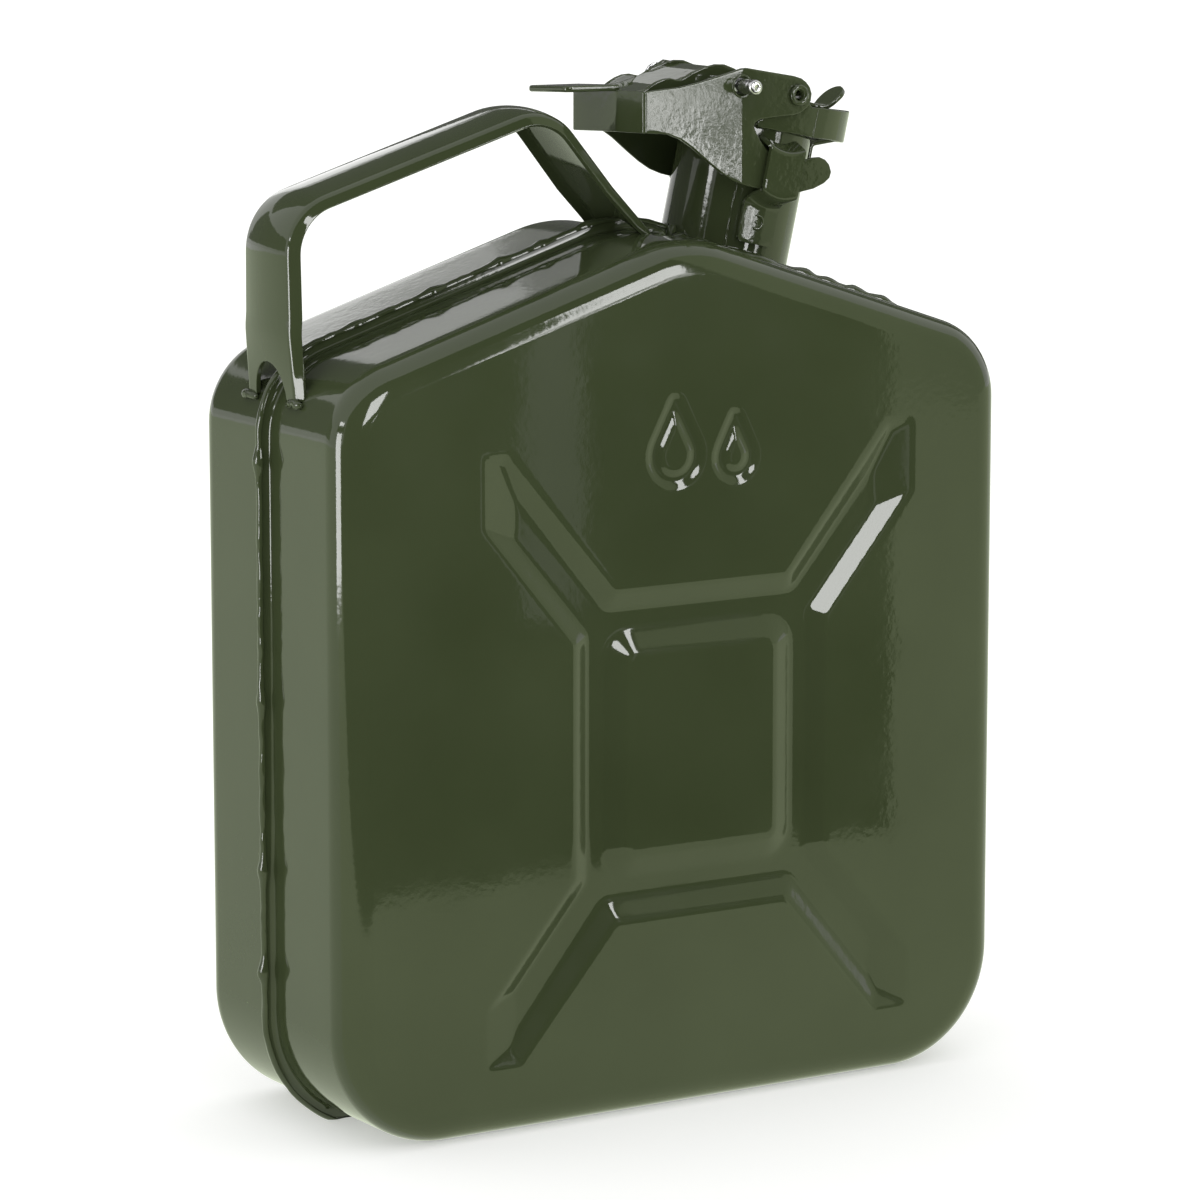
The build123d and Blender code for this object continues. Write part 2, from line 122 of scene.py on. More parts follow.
def joined(*meshes):
    """Several (points, faces) as one."""
    points, faces = [], []
    for more_points, more_faces in meshes:
        start = len(points)
        points += [np.asarray(p, float) for p in more_points]
        faces += [tuple(start + i for i in f) for f in more_faces]
    return points, faces


def mirrored(mesh):
    """(points, faces) behind the mid-plane."""
    points, faces = mesh
    return [np.array([p[0], -p[1], p[2]]) for p in points], [tuple(reversed(f)) for f in faces]


def neck_point(u, v, y):
    """A place given in the frame of the filler neck."""
    return NECK_ORIGIN + u * NECK_U + v * NECK_V + np.array([0.0, y, 0.0])


def on_circle(centre, radius, angle):
    """The point of a circle at an angle in degrees."""
    return (centre[0] + radius * cos(radians(angle)), centre[1] + radius * sin(radians(angle)))


def arc_points(centre, radius, start, turn, step):
    """Points along an arc, both ends included; angles in radians."""
    count = max(2, ceil(abs(turn) * radius / step), ceil(abs(turn) / radians(12)))
    angles = [start + turn * i / count for i in range(count + 1)]
    return [(centre[0] + radius * cos(a), centre[1] + radius * sin(a)) for a in angles]


def rounded(corners, radii, step, closed):
    """A polyline with its corners rounded, as evenly spaced points."""
    corners = [np.array(c, float) for c in corners]
    count = len(corners)
    points = []
    for i, corner in enumerate(corners):
        if not closed and i in (0, count - 1):
            points.append(tuple(corner))
            continue
        before = corners[i - 1] - corner
        after = corners[(i + 1) % count] - corner
        before /= np.linalg.norm(before)
        after /= np.linalg.norm(after)
        radius = radii[i]
        opening = np.arccos(np.clip(before @ after, -1, 1))
        if radius <= 0 or opening > radians(179.5):
            points.append(tuple(corner))
            continue
        reach = radius / tan(opening / 2)
        bisector = before + after
        centre = corner + bisector / np.linalg.norm(bisector) * (radius / sin(opening / 2))
        first = corner + before * reach - centre
        last = corner + after * reach - centre
        start = atan2(first[1], first[0])
        turn = (atan2(last[1], last[0]) - start + pi) % (2 * pi) - pi
        points += arc_points(centre, radius, start, turn, step)
    return spaced(points, step, closed)


def spaced(points, step, closed):
    """The same line with long stretches divided, so that no two points are further apart than a step."""
    result = []
    pairs = list(zip(points, points[1:] + points[:1])) if closed else list(zip(points, points[1:]))
    for start, end in pairs:
        length = hypot(end[0] - start[0], end[1] - start[1])
        if length < 1e-6:
            continue
        pieces = max(1, ceil(length / step))
        result += [(start[0] + (end[0] - start[0]) * i / pieces, start[1] + (end[1] - start[1]) * i / pieces)
                   for i in range(pieces)]
    if not closed:
        result.append(points[-1])
    return np.array(result)


def line_normals(points, closed):
    """Unit normals on the right of a line, and its unit directions."""
    points = np.asarray(points, float)
    if closed:
        ahead = np.roll(points, -1, 0) - np.roll(points, 1, 0)
    else:
        ahead = np.gradient(points, axis=0)
    ahead /= np.linalg.norm(ahead, axis=1, keepdims=True)
    return np.stack([ahead[:, 1], -ahead[:, 0]], 1), ahead


def grid_faces(rows, columns, wrap_rows=False, wrap_columns=False):
    """Quads over a grid of points numbered row by row."""
    faces = []
    for i in range(rows if wrap_rows else rows - 1):
        for j in range(columns if wrap_columns else columns - 1):
            k, m = (i + 1) % rows, (j + 1) % columns
            faces.append((i * columns + j, i * columns + m, k * columns + m, k * columns + j))
    return faces


def tube_faces(rows, columns):
    """Quads round a tube of rings, with a face over each end."""
    last = (rows - 1) * columns
    return grid_faces(rows, columns, wrap_columns=True) + [
        tuple(range(columns)), tuple(reversed(range(last, last + columns)))]


def distances(line):
    """How far along a line each of its points lies."""
    return np.concatenate([[0], np.cumsum(np.linalg.norm(np.diff(line, axis=0), axis=1))])


def plate(outline, place, low, high, holes=(), edge=0.45):
    """A flat sheet with rounded edges: an outline (anticlockwise) made solid between two levels."""
    turns = [(radians(a), low, 1) for a in (0, 30, 60, 90)]
    turns += [(angle, high, -1) for angle, _, _ in reversed(turns)]
    points, faces, caps = [], [], {0: [], 1: []}
    for loop in [outline, *holes]:
        loop = np.asarray(loop, float)
        normals, _ = line_normals(loop, True)
        # The normal on the right of an anticlockwise outline points out of the sheet; a hole runs clockwise
        start = len(points)
        rows = []
        for angle, level, way in turns:
            inset = edge * (1 - sin(angle))
            lift = way * edge * (1 - cos(angle))
            rows.append([(q[0], q[1], level + lift) for q in loop - normals * inset])
        for row in rows:
            points += [place(*p) for p in row]
        count = len(loop)
        faces += [tuple(start + i for i in f) for f in grid_faces(len(turns), count, wrap_columns=True)]
        caps[0].append([(Vector((p[0], p[1], 0)), start + i) for i, p in enumerate(rows[0])])
        caps[1].append([(Vector((p[0], p[1], 0)), start + (len(turns) - 1) * count + i)
                        for i, p in enumerate(rows[-1])])
    for side in (0, 1):
        numbers = [n for loop in caps[side] for _, n in loop]
        for triangle in tessellate_polygon([[v for v, _ in loop] for loop in caps[side]]):
            corner = [numbers[i] for i in triangle]
            faces.append(tuple(corner if side else reversed(corner)))
    return points, consistent(points, faces)


def consistent(points, faces):
    """The faces of a closed mesh, all turned outwards."""
    mesh = bpy.data.meshes.new("turning")
    mesh.from_pydata([tuple(map(float, p)) for p in points], [], faces)
    work = bmesh.new()
    work.from_mesh(mesh)
    bmesh.ops.recalc_face_normals(work, faces=work.faces)
    result = [tuple(v.index for v in f.verts) for f in work.faces]
    work.free()
    bpy.data.meshes.remove(mesh)
    return result


def strip(line, place, near, far, thickness, edge=0.45):
    """A bent sheet: a line made thick on its right and wide from near to far.

    near and far are numbers, or functions of the distance along the line (0 to 1).
    """
    line = np.asarray(line, float)
    normals, _ = line_normals(line, False)
    count = len(line)
    along = distances(line) / distances(line)[-1]
    ring = []
    for side, first in enumerate((270, 0, 90, 180)):
        for angle in range(first, first + 91, 30):
            ring.append((side, cos(radians(angle)), sin(radians(angle))))
    points = []
    for i in range(count):
        n = near(along[i]) if callable(near) else near
        f = far(along[i]) if callable(far) else far
        for side, c, s in ring:
            across = (f - edge if side in (0, 1) else n + edge) + edge * c
            deep = (thickness - edge if side in (0, 3) else edge) - edge * s
            q = line[i] + normals[i] * deep
            points.append(place(q[0], q[1], across))
    return points, consistent(points, tube_faces(count, len(ring)))


def lathe(profile, centre, u_dir, w_dir, axis, segments=64):
    """A closed profile of (radius, height) turned about an axis."""
    points = []
    for k in range(segments):
        angle = 2 * pi * k / segments
        out = np.asarray(u_dir) * cos(angle) + np.asarray(w_dir) * sin(angle)
        points += [np.asarray(centre) + out * r + np.asarray(axis) * h for r, h in profile]
    faces = grid_faces(segments, len(profile), wrap_rows=True, wrap_columns=True)
    return points, consistent(points, faces)


def on_neck(profile, segments=96):
    """A closed profile of (radius, V) turned about the neck's axis."""
    return lathe(profile, NECK_ORIGIN, NECK_U, (0, 1, 0), NECK_V, segments)


def across(profile, u, v, segments=32):
    """A closed profile of (radius, Y) turned about a cross axis at (u, v)."""
    return lathe(profile, neck_point(u, v, 0), NECK_U, NECK_V, (0, 1, 0), segments)


def bead(line, radius, seed, lump=0.25, lump_size=4.0, sides=10, closed=False):
    """An uneven weld bead along a 3-D line, thinner towards its ends."""
    line = [np.asarray(p, float) for p in line]
    count = len(line)
    points = []
    up = Vector((0.0, 1.0, 0.0))
    for i, p in enumerate(line):
        before = line[i - 1] if i or closed else line[i]
        after = line[(i + 1) % count] if i < count - 1 or closed else line[i]
        ahead = Vector(after - before).normalized()
        side = ahead.cross(up)
        side.normalize()
        lift = side.cross(ahead)
        end = min(i, count - 1 - i)
        r = radius if closed or end > 2 else radius * (0.35, 0.75, 0.95)[end]
        for k in range(sides):
            angle = 2 * pi * k / sides
            direction = np.array(side) * cos(angle) + np.array(lift) * sin(angle)
            q = p + direction * r
            points.append(p + direction * r * (1 + lump * wobble(q, lump_size, seed)))
    faces = grid_faces(count, sides, True, True) if closed else tube_faces(count, sides)
    return points, consistent(points, faces)


# Materials

def new_material(name):
    """A material, its node tree and its main shader."""
    material = bpy.data.materials.new(name)
    material.use_nodes = True
    return material, material.node_tree, material.node_tree.nodes["Principled BSDF"]


def noise_node(tree, place, scale, detail):
    """Noise over an object's own coordinates."""
    node = tree.nodes.new("ShaderNodeTexNoise")
    node.inputs["Scale"].default_value = scale
    node.inputs["Detail"].default_value = detail
    tree.links.new(place.outputs["Object"], node.inputs["Vector"])
    return node


def ramp_node(tree, source, low, high, start=0.3, end=0.7):
    """Maps a noise's middle range to two colours."""
    node = tree.nodes.new("ShaderNodeValToRGB")
    for element, position, colour in zip(node.color_ramp.elements, (start, end), (low, high)):
        element.position = position
        element.color = (*colour, 1)
    tree.links.new(source.outputs["Fac"], node.inputs["Fac"])
    return node


def bump_node(tree, source, distance, below=None):
    """Relief from a noise, on top of the relief below it."""
    node = tree.nodes.new("ShaderNodeBump")
    node.inputs["Strength"].default_value = 1.0
    node.inputs["Distance"].default_value = distance
    tree.links.new(source.outputs["Fac"], node.inputs["Height"])
    if below:
        tree.links.new(below.outputs["Normal"], node.inputs["Normal"])
    return node


def olive_paint(name, peel, peel_size):
    """Glossy olive enamel with orange peel and a faint drift of tone."""
    material, tree, shader = new_material(name)
    place = tree.nodes.new("ShaderNodeTexCoord")
    tone = ramp_node(tree, noise_node(tree, place, 14.0, 3.0), (0.038, 0.050, 0.021), (0.048, 0.062, 0.028))
    tree.links.new(tone.outputs["Color"], shader.inputs["Base Color"])
    gloss = ramp_node(tree, noise_node(tree, place, 60.0, 4.0), (0.035,) * 3, (0.085,) * 3)
    tree.links.new(gloss.outputs["Color"], shader.inputs["Roughness"])
    shader.inputs["IOR"].default_value = 1.5
    waves = bump_node(tree, noise_node(tree, place, 1 / (9 * peel_size * MM), 1.0), 4.0e-5 * peel)
    fine = bump_node(tree, noise_node(tree, place, 1 / (peel_size * MM), 2.0), 1.6e-5 * peel, waves)
    tree.links.new(fine.outputs["Normal"], shader.inputs["Normal"])
    return material


def grained(name, tone, dark, light, grain, depth, roughness, metallic=0.0):
    """A finish with patches of tone and a fine grain; tone and grain are (scale, detail) of their noise."""
    material, tree, shader = new_material(name)
    place = tree.nodes.new("ShaderNodeTexCoord")
    patches = ramp_node(tree, noise_node(tree, place, *tone), dark, light)
    tree.links.new(patches.outputs["Color"], shader.inputs["Base Color"])
    shader.inputs["Metallic"].default_value = metallic
    shader.inputs["Roughness"].default_value = roughness
    relief = bump_node(tree, noise_node(tree, place, *grain), depth)
    tree.links.new(relief.outputs["Normal"], shader.inputs["Normal"])
    return material


TANK_PAINT = olive_paint("olive_paint_tank", peel=1.0, peel_size=2.4)
PRESSED_PAINT = olive_paint("olive_paint_closure", peel=1.5, peel_size=1.9)
WELD_PAINT = olive_paint("olive_paint_weld", peel=2.0, peel_size=1.4)
ZINC = grained("zinc_plate", (900.0, 4.0), (0.42, 0.42, 0.43), (0.72, 0.72, 0.73),
               (1600.0, 3.0), 4.0e-5, 0.24, metallic=1.0)
RUBBER = grained("gasket_rubber", (300.0, 3.0), (0.010, 0.010, 0.010), (0.022, 0.022, 0.021),
                 (1500.0, 3.0), 3.0e-5, 0.62)


# Tank

def tank_line(step):
    """The tank's outline from the front, anticlockwise from its bottom left, with outward normals."""
    corners = [(-HALF_WIDTH, 0), (HALF_WIDTH, 0), (HALF_WIDTH, SHOULDER_HEIGHT), (APEX_X, APEX_HEIGHT),
               (-HALF_WIDTH, SHOULDER_HEIGHT)]
    radii = [BOTTOM_RADIUS, BOTTOM_RADIUS, SHOULDER_RADIUS, APEX_RADIUS, SHOULDER_RADIUS]
    line = rounded(corners, radii, step, True)
    return line, line_normals(line, True)[0]


# Pressed relief: an X with a ring round its middle, and a flat pillow left standing in it
RELIEF_X, RELIEF_Z = 6.5, 113.7
RELIEF_DEPTH = 3.3
RELIEF_WALL = 6.5
RING_HALF_WIDTH, RING_HALF_HEIGHT = 46.3, 51.4
PILLOW_HALF_WIDTH, PILLOW_HALF_HEIGHT = 27.0, 31.5
ARM_REACH = 78.0
ARM_RAMP = 13.0
TOP_ARM_TIP_Z, BOTTOM_ARM_TIP_Z = 210.0, 22.0
ARM_SKEW = 33.0
ARM_ROOT_X = 31.3
ARM_SLOPE = tan(radians(50.0))

# Generic debossed mark: the outlines of a large and a small drop
MARK_DEPTH = 1.1
MARK_WALL = 1.7
MARK_STROKE = 5.4
# Middle of the round part (x, z), its radius and the height of the tip
DROPS = ((-3.5, 205.0, 7.6, 221.5), (18.5, 203.0, 5.6, 215.5))

FIELD_STEP = 0.5
FIELD_X = np.arange(-125, 125.01, FIELD_STEP)
FIELD_Z = np.arange(-5, 280.01, FIELD_STEP)


def segment_distance(x, z, start, end):
    """Distance from each point of the field to a segment."""
    ax, az = start
    dx, dz = end[0] - ax, end[1] - az
    t = np.clip(((x - ax) * dx + (z - az) * dz) / (dx * dx + dz * dz), 0, 1)
    return np.hypot(x - ax - t * dx, z - az - t * dz)


def inside(x, z, corners):
    """True where the field is inside a polygon."""
    result = np.zeros(x.shape, bool)
    for (ax, az), (bx, bz) in zip(corners, corners[1:] + corners[:1]):
        crosses = (az > z) != (bz > z)
        result ^= crosses & (x < (bx - ax) * (z - az) / (bz - az + 1e-12) + ax)
    return result


def blurred(field, width):
    """The field smoothed by a bell curve of a width in millimetres."""
    reach = int(3 * width / FIELD_STEP)
    kernel = np.exp(-0.5 * (np.arange(-reach, reach + 1) * FIELD_STEP / width) ** 2)
    kernel /= kernel.sum()
    field = np.apply_along_axis(lambda row: np.convolve(row, kernel, "same"), 0, field)
    return np.apply_along_axis(lambda row: np.convolve(row, kernel, "same"), 1, field)


def cross_depth(x, z):
    """How far the X is pressed in, as a share of its depth, with a long ramp at each arm's end."""
    share = np.full(x.shape, 9.0)
    corners = []
    for side, up in ((1, 1), (-1, 1), (-1, -1), (1, -1)):
        tip = TOP_ARM_TIP_Z - RELIEF_Z if up > 0 else RELIEF_Z - BOTTOM_ARM_TIP_Z
        arm = [
            (RING_HALF_WIDTH, RING_HALF_HEIGHT + ARM_SLOPE * (RING_HALF_WIDTH - ARM_ROOT_X) - ARM_SKEW),
            (ARM_REACH, RING_HALF_HEIGHT + ARM_SLOPE * (ARM_REACH - ARM_ROOT_X) - ARM_SKEW),
            (ARM_REACH, tip),
            (ARM_ROOT_X + (tip - RING_HALF_HEIGHT) / ARM_SLOPE, tip),
            (ARM_ROOT_X, RING_HALF_HEIGHT),
        ]
        ends = [(side * a[0], up * a[1]) for a in arm]
        ramp = segment_distance(x - RELIEF_X, z - RELIEF_Z, ends[1], ends[2]) / ARM_RAMP
        share = np.minimum(share, ramp)
        if side * up < 0:
            ends.reverse()
        corners += ends
    corners = [(RELIEF_X + a, RELIEF_Z + b) for a, b in corners]
    # The outer end of an arm has a ramp of its own, so it has no wall
    for start, end in zip(corners, corners[1:] + corners[:1]):
        if abs(start[0] - end[0]) < 1e-6 and abs(abs(start[0] - RELIEF_X) - ARM_REACH) < 1e-6:
            continue
        share = np.minimum(share, segment_distance(x, z, start, end) / RELIEF_WALL)
    return np.where(inside(x, z, corners), np.clip(share, 0, 1), 0.0)


def box_distance(x, z, centre_x, centre_z, half_x, half_z, corner):
    """Signed distance to a rectangle with rounded corners, negative inside."""
    qx = np.abs(x - centre_x) - half_x + corner
    qz = np.abs(z - centre_z) - half_z + corner
    return np.hypot(np.maximum(qx, 0), np.maximum(qz, 0)) + np.minimum(np.maximum(qx, qz), 0) - corner


def drop_outline(x, z, radius, tip):
    """A drop: a round bottom whose sides run to a point."""
    half = np.arccos(radius / (tip - z))
    start = pi / 2 + half
    sweep = 2 * pi - 2 * half
    return [(x, tip)] + [(x + radius * cos(start + sweep * i / 40), z + radius * sin(start + sweep * i / 40))
                         for i in range(41)]


def mark_depth(x, z):
    """How far the mark is pressed in."""
    edge = np.full(x.shape, 99.0)
    for drop in DROPS:
        outline = drop_outline(*drop)
        for start, end in zip(outline, outline[1:] + outline[:1]):
            edge = np.minimum(edge, segment_distance(x, z, start, end))
    return MARK_DEPTH * np.clip((MARK_STROKE / 2 - edge) / MARK_WALL, 0, 1)


def panel_field(marked):
    """How far a panel is pressed in, over a grid in X and Z."""
    x, z = np.meshgrid(FIELD_X, FIELD_Z)
    cross = cross_depth(x, z)
    pillow = box_distance(x, z, RELIEF_X, RELIEF_Z, PILLOW_HALF_WIDTH, PILLOW_HALF_HEIGHT, 3.0)
    cross *= np.clip(pillow / (RELIEF_WALL + 1.0), 0, 1)
    field = blurred(RELIEF_DEPTH * cross, 0.65)
    if marked:
        field += blurred(mark_depth(x, z), 0.55)
    return field


def sample(field, x, z):
    """The field's value at points, interpolated between its grid."""
    gx = np.clip((np.asarray(x) - FIELD_X[0]) / FIELD_STEP, 0, len(FIELD_X) - 1.001)
    gz = np.clip((np.asarray(z) - FIELD_Z[0]) / FIELD_STEP, 0, len(FIELD_Z) - 1.001)
    i, j = gx.astype(int), gz.astype(int)
    fx, fz = gx - i, gz - j
    return (field[j, i] * (1 - fx) * (1 - fz) + field[j, i + 1] * fx * (1 - fz)
            + field[j + 1, i] * (1 - fx) * fz + field[j + 1, i + 1] * fx * fz)


def hexagonal(step):
    """Points of a triangular lattice over the field."""
    rows = np.arange(FIELD_Z[0], FIELD_Z[-1], step * sqrt(3) / 2)
    points = []
    for i, row in enumerate(rows):
        along = np.arange(FIELD_X[0] + (step / 2) * (i % 2), FIELD_X[-1], step)
        points.append(np.stack([along, np.full(len(along), row)], 1))
    return np.concatenate(points)


FINE_STEP = 1.0
COARSE_STEP = 5.0


def panel_points(field, rim):
    """Points inside a panel's rim: close together on the pressed walls, far apart on the flats."""
    steep = np.hypot(*np.gradient(field, FIELD_STEP)) > 0.004
    steep = blurred(steep.astype(float), 0.8) > 0.02
    near_steep = blurred(steep.astype(float), 1.6) > 0.02
    rim_list = [tuple(p) for p in rim]
    kept = []
    for step, fine in ((FINE_STEP, True), (COARSE_STEP, False)):
        lattice = hexagonal(step)
        lattice = lattice[inside(lattice[:, 0], lattice[:, 1], rim_list)]
        away = lattice[:, None] - rim[None, ::2]
        gap = np.min(np.hypot(away[..., 0], away[..., 1]), 1)
        lattice = lattice[gap > (0.8 if fine else 2.0)]
        chosen = sample((steep if fine else near_steep).astype(float), lattice[:, 0], lattice[:, 1]) > 0.5
        kept.append(lattice[chosen if fine else ~chosen])
    return np.concatenate(kept)


def floor_under(offset, y):
    """The lowest a point of the tank's side may be, for the channel that the seam runs in."""
    if offset > 2.8:
        return SEAM_GROUND_CLEARANCE
    ease = np.clip((CHANNEL_FOOT - y) / (CHANNEL_FOOT - CHANNEL_TOP), 0, 1)
    return CHANNEL_DEPTH * ease * ease * (3 - 2 * ease)


def side_section():
    """Section through the tank's side: (offset from the outline, distance from the mid-plane)."""
    fillet, wall = 1.8, PANEL_EDGE_RADIUS
    rows = [(SEAM_PROUD, SHEET), (SEAM_PROUD - 0.8, SHEET)]
    rows += [on_circle((fillet, SHEET + fillet), fillet, a) for a in range(270, 179, -18)]
    rows += [(0, y) for y in (3.6, 4.6, 5.6, 6.6, 7.6, 8.6, 12, 17, 22, 27, 31)]
    rows += [on_circle((-wall, HALF_DEPTH - wall), wall, a) for a in range(0, 91, 6)]
    return rows


def shell_mesh(marked):
    """The outer face of one half of the tank, as seen with +Y towards the panel."""
    field = panel_field(marked)
    line, normals = tank_line(2.2)
    rows = side_section()
    points = []
    for offset, y in rows:
        ring = line + normals * offset
        low = floor_under(offset, y)
        points += [(x, y, max(z, low) if y < CHANNEL_FOOT + 1 else z) for x, z in ring]
    count = len(line)
    faces = grid_faces(len(rows), count, wrap_columns=True)
    rim = line + normals * rows[-1][0]
    inner = panel_points(field, rim)
    flat = [Vector(map(float, p)) for p in rim] + [Vector(map(float, p)) for p in inner]
    edges = [(i, (i + 1) % count) for i in range(count)]
    flat_out, _, triangles, origins, _, _ = delaunay_2d_cdt(flat, edges, [], 1, 1e-6)
    first = (len(rows) - 1) * count
    numbers = []
    for p, source in zip(flat_out, origins):
        if source and source[0] < count:
            numbers.append(first + source[0])
        else:
            numbers.append(len(points))
            points.append((p[0], HALF_DEPTH, p[1]))
    faces += [tuple(numbers[i] for i in t) for t in triangles]
    points = np.array(points, float)
    on_panel = points[:, 1] > HALF_DEPTH - 0.01
    points[on_panel, 1] -= sample(field, points[on_panel, 0], points[on_panel, 2])
    return points, faces


def with_waves(points):
    """The slight unevenness that pressing and welding leave in the sheet."""
    result = []
    for x, y, z in points:
        swell = 0.10 * wobble((x, y, z), 45.0, 3.1) if y > CHANNEL_FOOT else 0.0
        result.append((x, y - abs(swell), z))
    return result


def neck_cutter():
    """A rod that opens the tank under the neck."""
    profile = [(0.01, -30), (NECK_RADIUS - 0.5, -30), (NECK_RADIUS - 0.5, 30), (0.01, 30)]
    return add_object("neck_cutter", *on_neck(profile), MM)


def apply_modifier(piece, modifier):
    """Makes a modifier's result the piece's mesh."""
    bpy.context.view_layer.objects.active = piece
    with bpy.context.temp_override(object=piece, active_object=piece, selected_objects=[piece]):
        bpy.ops.object.modifier_apply(modifier=modifier.name)


def thicken(piece, thickness):
    """Turns a surface into a sheet that lies behind it."""
    modifier = piece.modifiers.new("sheet", "SOLIDIFY")
    modifier.thickness = thickness * MM
    modifier.offset = -1.0
    apply_modifier(piece, modifier)


def soften(piece, width):
    """Rounds the sharp edges of a piece."""
    modifier = piece.modifiers.new("edges", "BEVEL")
    modifier.width = width * MM
    modifier.segments = 3
    modifier.angle_limit = radians(50)
    apply_modifier(piece, modifier)


def cut(piece, cutter):
    """Takes the cutter's shape out of a piece."""
    modifier = piece.modifiers.new("cut", "BOOLEAN")
    modifier.operation = "DIFFERENCE"
    modifier.solver = "EXACT"
    modifier.object = cutter
    apply_modifier(piece, modifier)


def make_sheet(name, node, points, faces, material, thickness, edge):
    """A piece of the can's body from the outer face of a bent sheet, with rounded edges."""
    piece = make_piece(name, "can", node, points, faces, material)
    piece.modifiers.clear()
    thicken(piece, thickness)
    soften(piece, edge)
    weighted_normals(piece)


def shell(name, front):
    """One half of the tank, open under the neck."""
    points, faces = shell_mesh(marked=front)
    points = with_waves(points)
    if front:
        points = [(x, -y, z) for x, y, z in points]
    else:
        faces = [tuple(reversed(f)) for f in faces]
    piece = make_piece(name, "can", "front_shell" if front else "rear_shell", points, faces, TANK_PAINT)
    piece.modifiers.clear()
    thicken(piece, SHEET)
    cutter = neck_cutter()
    cut(piece, cutter)
    bpy.data.objects.remove(cutter)
    weighted_normals(piece)


# Seam weld

WELD_STEP = 1.2
# Places of the larger drops of weld metal: (x, z, height)
WELD_DROPS = (
    (-123, 207, 1.5), (-123, 134, 0.8), (-123, 81.5, 1.3), (-123, 50, 1.6), (-99, 4, 0.5),
    (-90, 247, 0.7), (-63.6, 255.8, 1.3), (-39.8, 262.7, 1.5), (-24.4, 267.1, 0.9), (-6.7, 270.7, 1.0),
    (73.8, 251.8, 1.5), (83, 249, 0.9), (92.8, 245.3, 1.3), (103.4, 240.8, 0.9), (123, 190, 1.3),
    (123, 96, 1.0),
)


def seam_weld():
    """The bead round the two flanges, broken where the neck stands."""
    line, normals = tank_line(WELD_STEP)
    line = line + normals * (SEAM_PROUD - 0.6)
    neck_gap = NECK_RADIUS + 1.0
    away = [abs((x - NECK_ORIGIN[0]) * NECK_U[0] + (z - NECK_ORIGIN[2]) * NECK_U[2]) if z > 230 else 99
            for x, z in line]
    first = next(i for i in range(len(line)) if away[i - 1] < neck_gap <= away[i])
    order = [(first + i) % len(line) for i in range(len(line))]
    order = [i for i in order if away[i] > neck_gap]
    sides = 12
    points = []
    for n, i in enumerate(order):
        (x, z), out = line[i], normals[i]
        along = n * WELD_STEP
        proud = 1.15 + 0.30 * wobble((along, 0, 0), 9.0, 5.0) + 0.22 * wobble((along, 0, 0), 3.0, 9.0)
        half = 1.35 + 0.35 * wobble((along, 0, 0), 7.0, 2.0)
        side = 0.35 * wobble((along, 0, 0), 16.0, 7.0)
        for drop_x, drop_z, height in WELD_DROPS:
            near = np.exp(-((x - drop_x) ** 2 + (z - drop_z) ** 2) / 9.0)
            proud += height * near * 0.75
            half += 0.9 * near
        if n in (0, len(order) - 1):
            proud, half = 0.2, 0.4
        for k in range(sides):
            angle = 2 * pi * k / sides
            lift = proud * sin(angle) if sin(angle) > 0 else 0.5 * sin(angle)
            q = np.array([x + out[0] * lift, side + half * cos(angle), z + out[1] * lift])
            q[2] = max(q[2], SEAM_GROUND_CLEARANCE * 0.55 + 0.1 * sin(angle))
            points.append(q)
    faces = consistent(points, tube_faces(len(order), sides))
    make_piece("seam_weld_bead", "can", "seam_weld", points, faces, WELD_PAINT)


# Handle

HANDLE_LINE = [(-118.5, 226.0), (-121.3, 246.0), (-121.3, 283.9), (-27.7, 312.6), (11.0, 266.0)]
HANDLE_THICKNESS = 1.5
HANDLE_HALF_FOOT = 17.6
HANDLE_FLAT = 12.2
HANDLE_CROWN = 1.3
HANDLE_BEND = 2.0
HANDLE_TURN = radians(60)
HANDLE_LIP = 2.2
HANDLE_FLARE = 48.0
ARCH_HALF_WIDTH, ARCH_HEIGHT = 9.2, 11.0


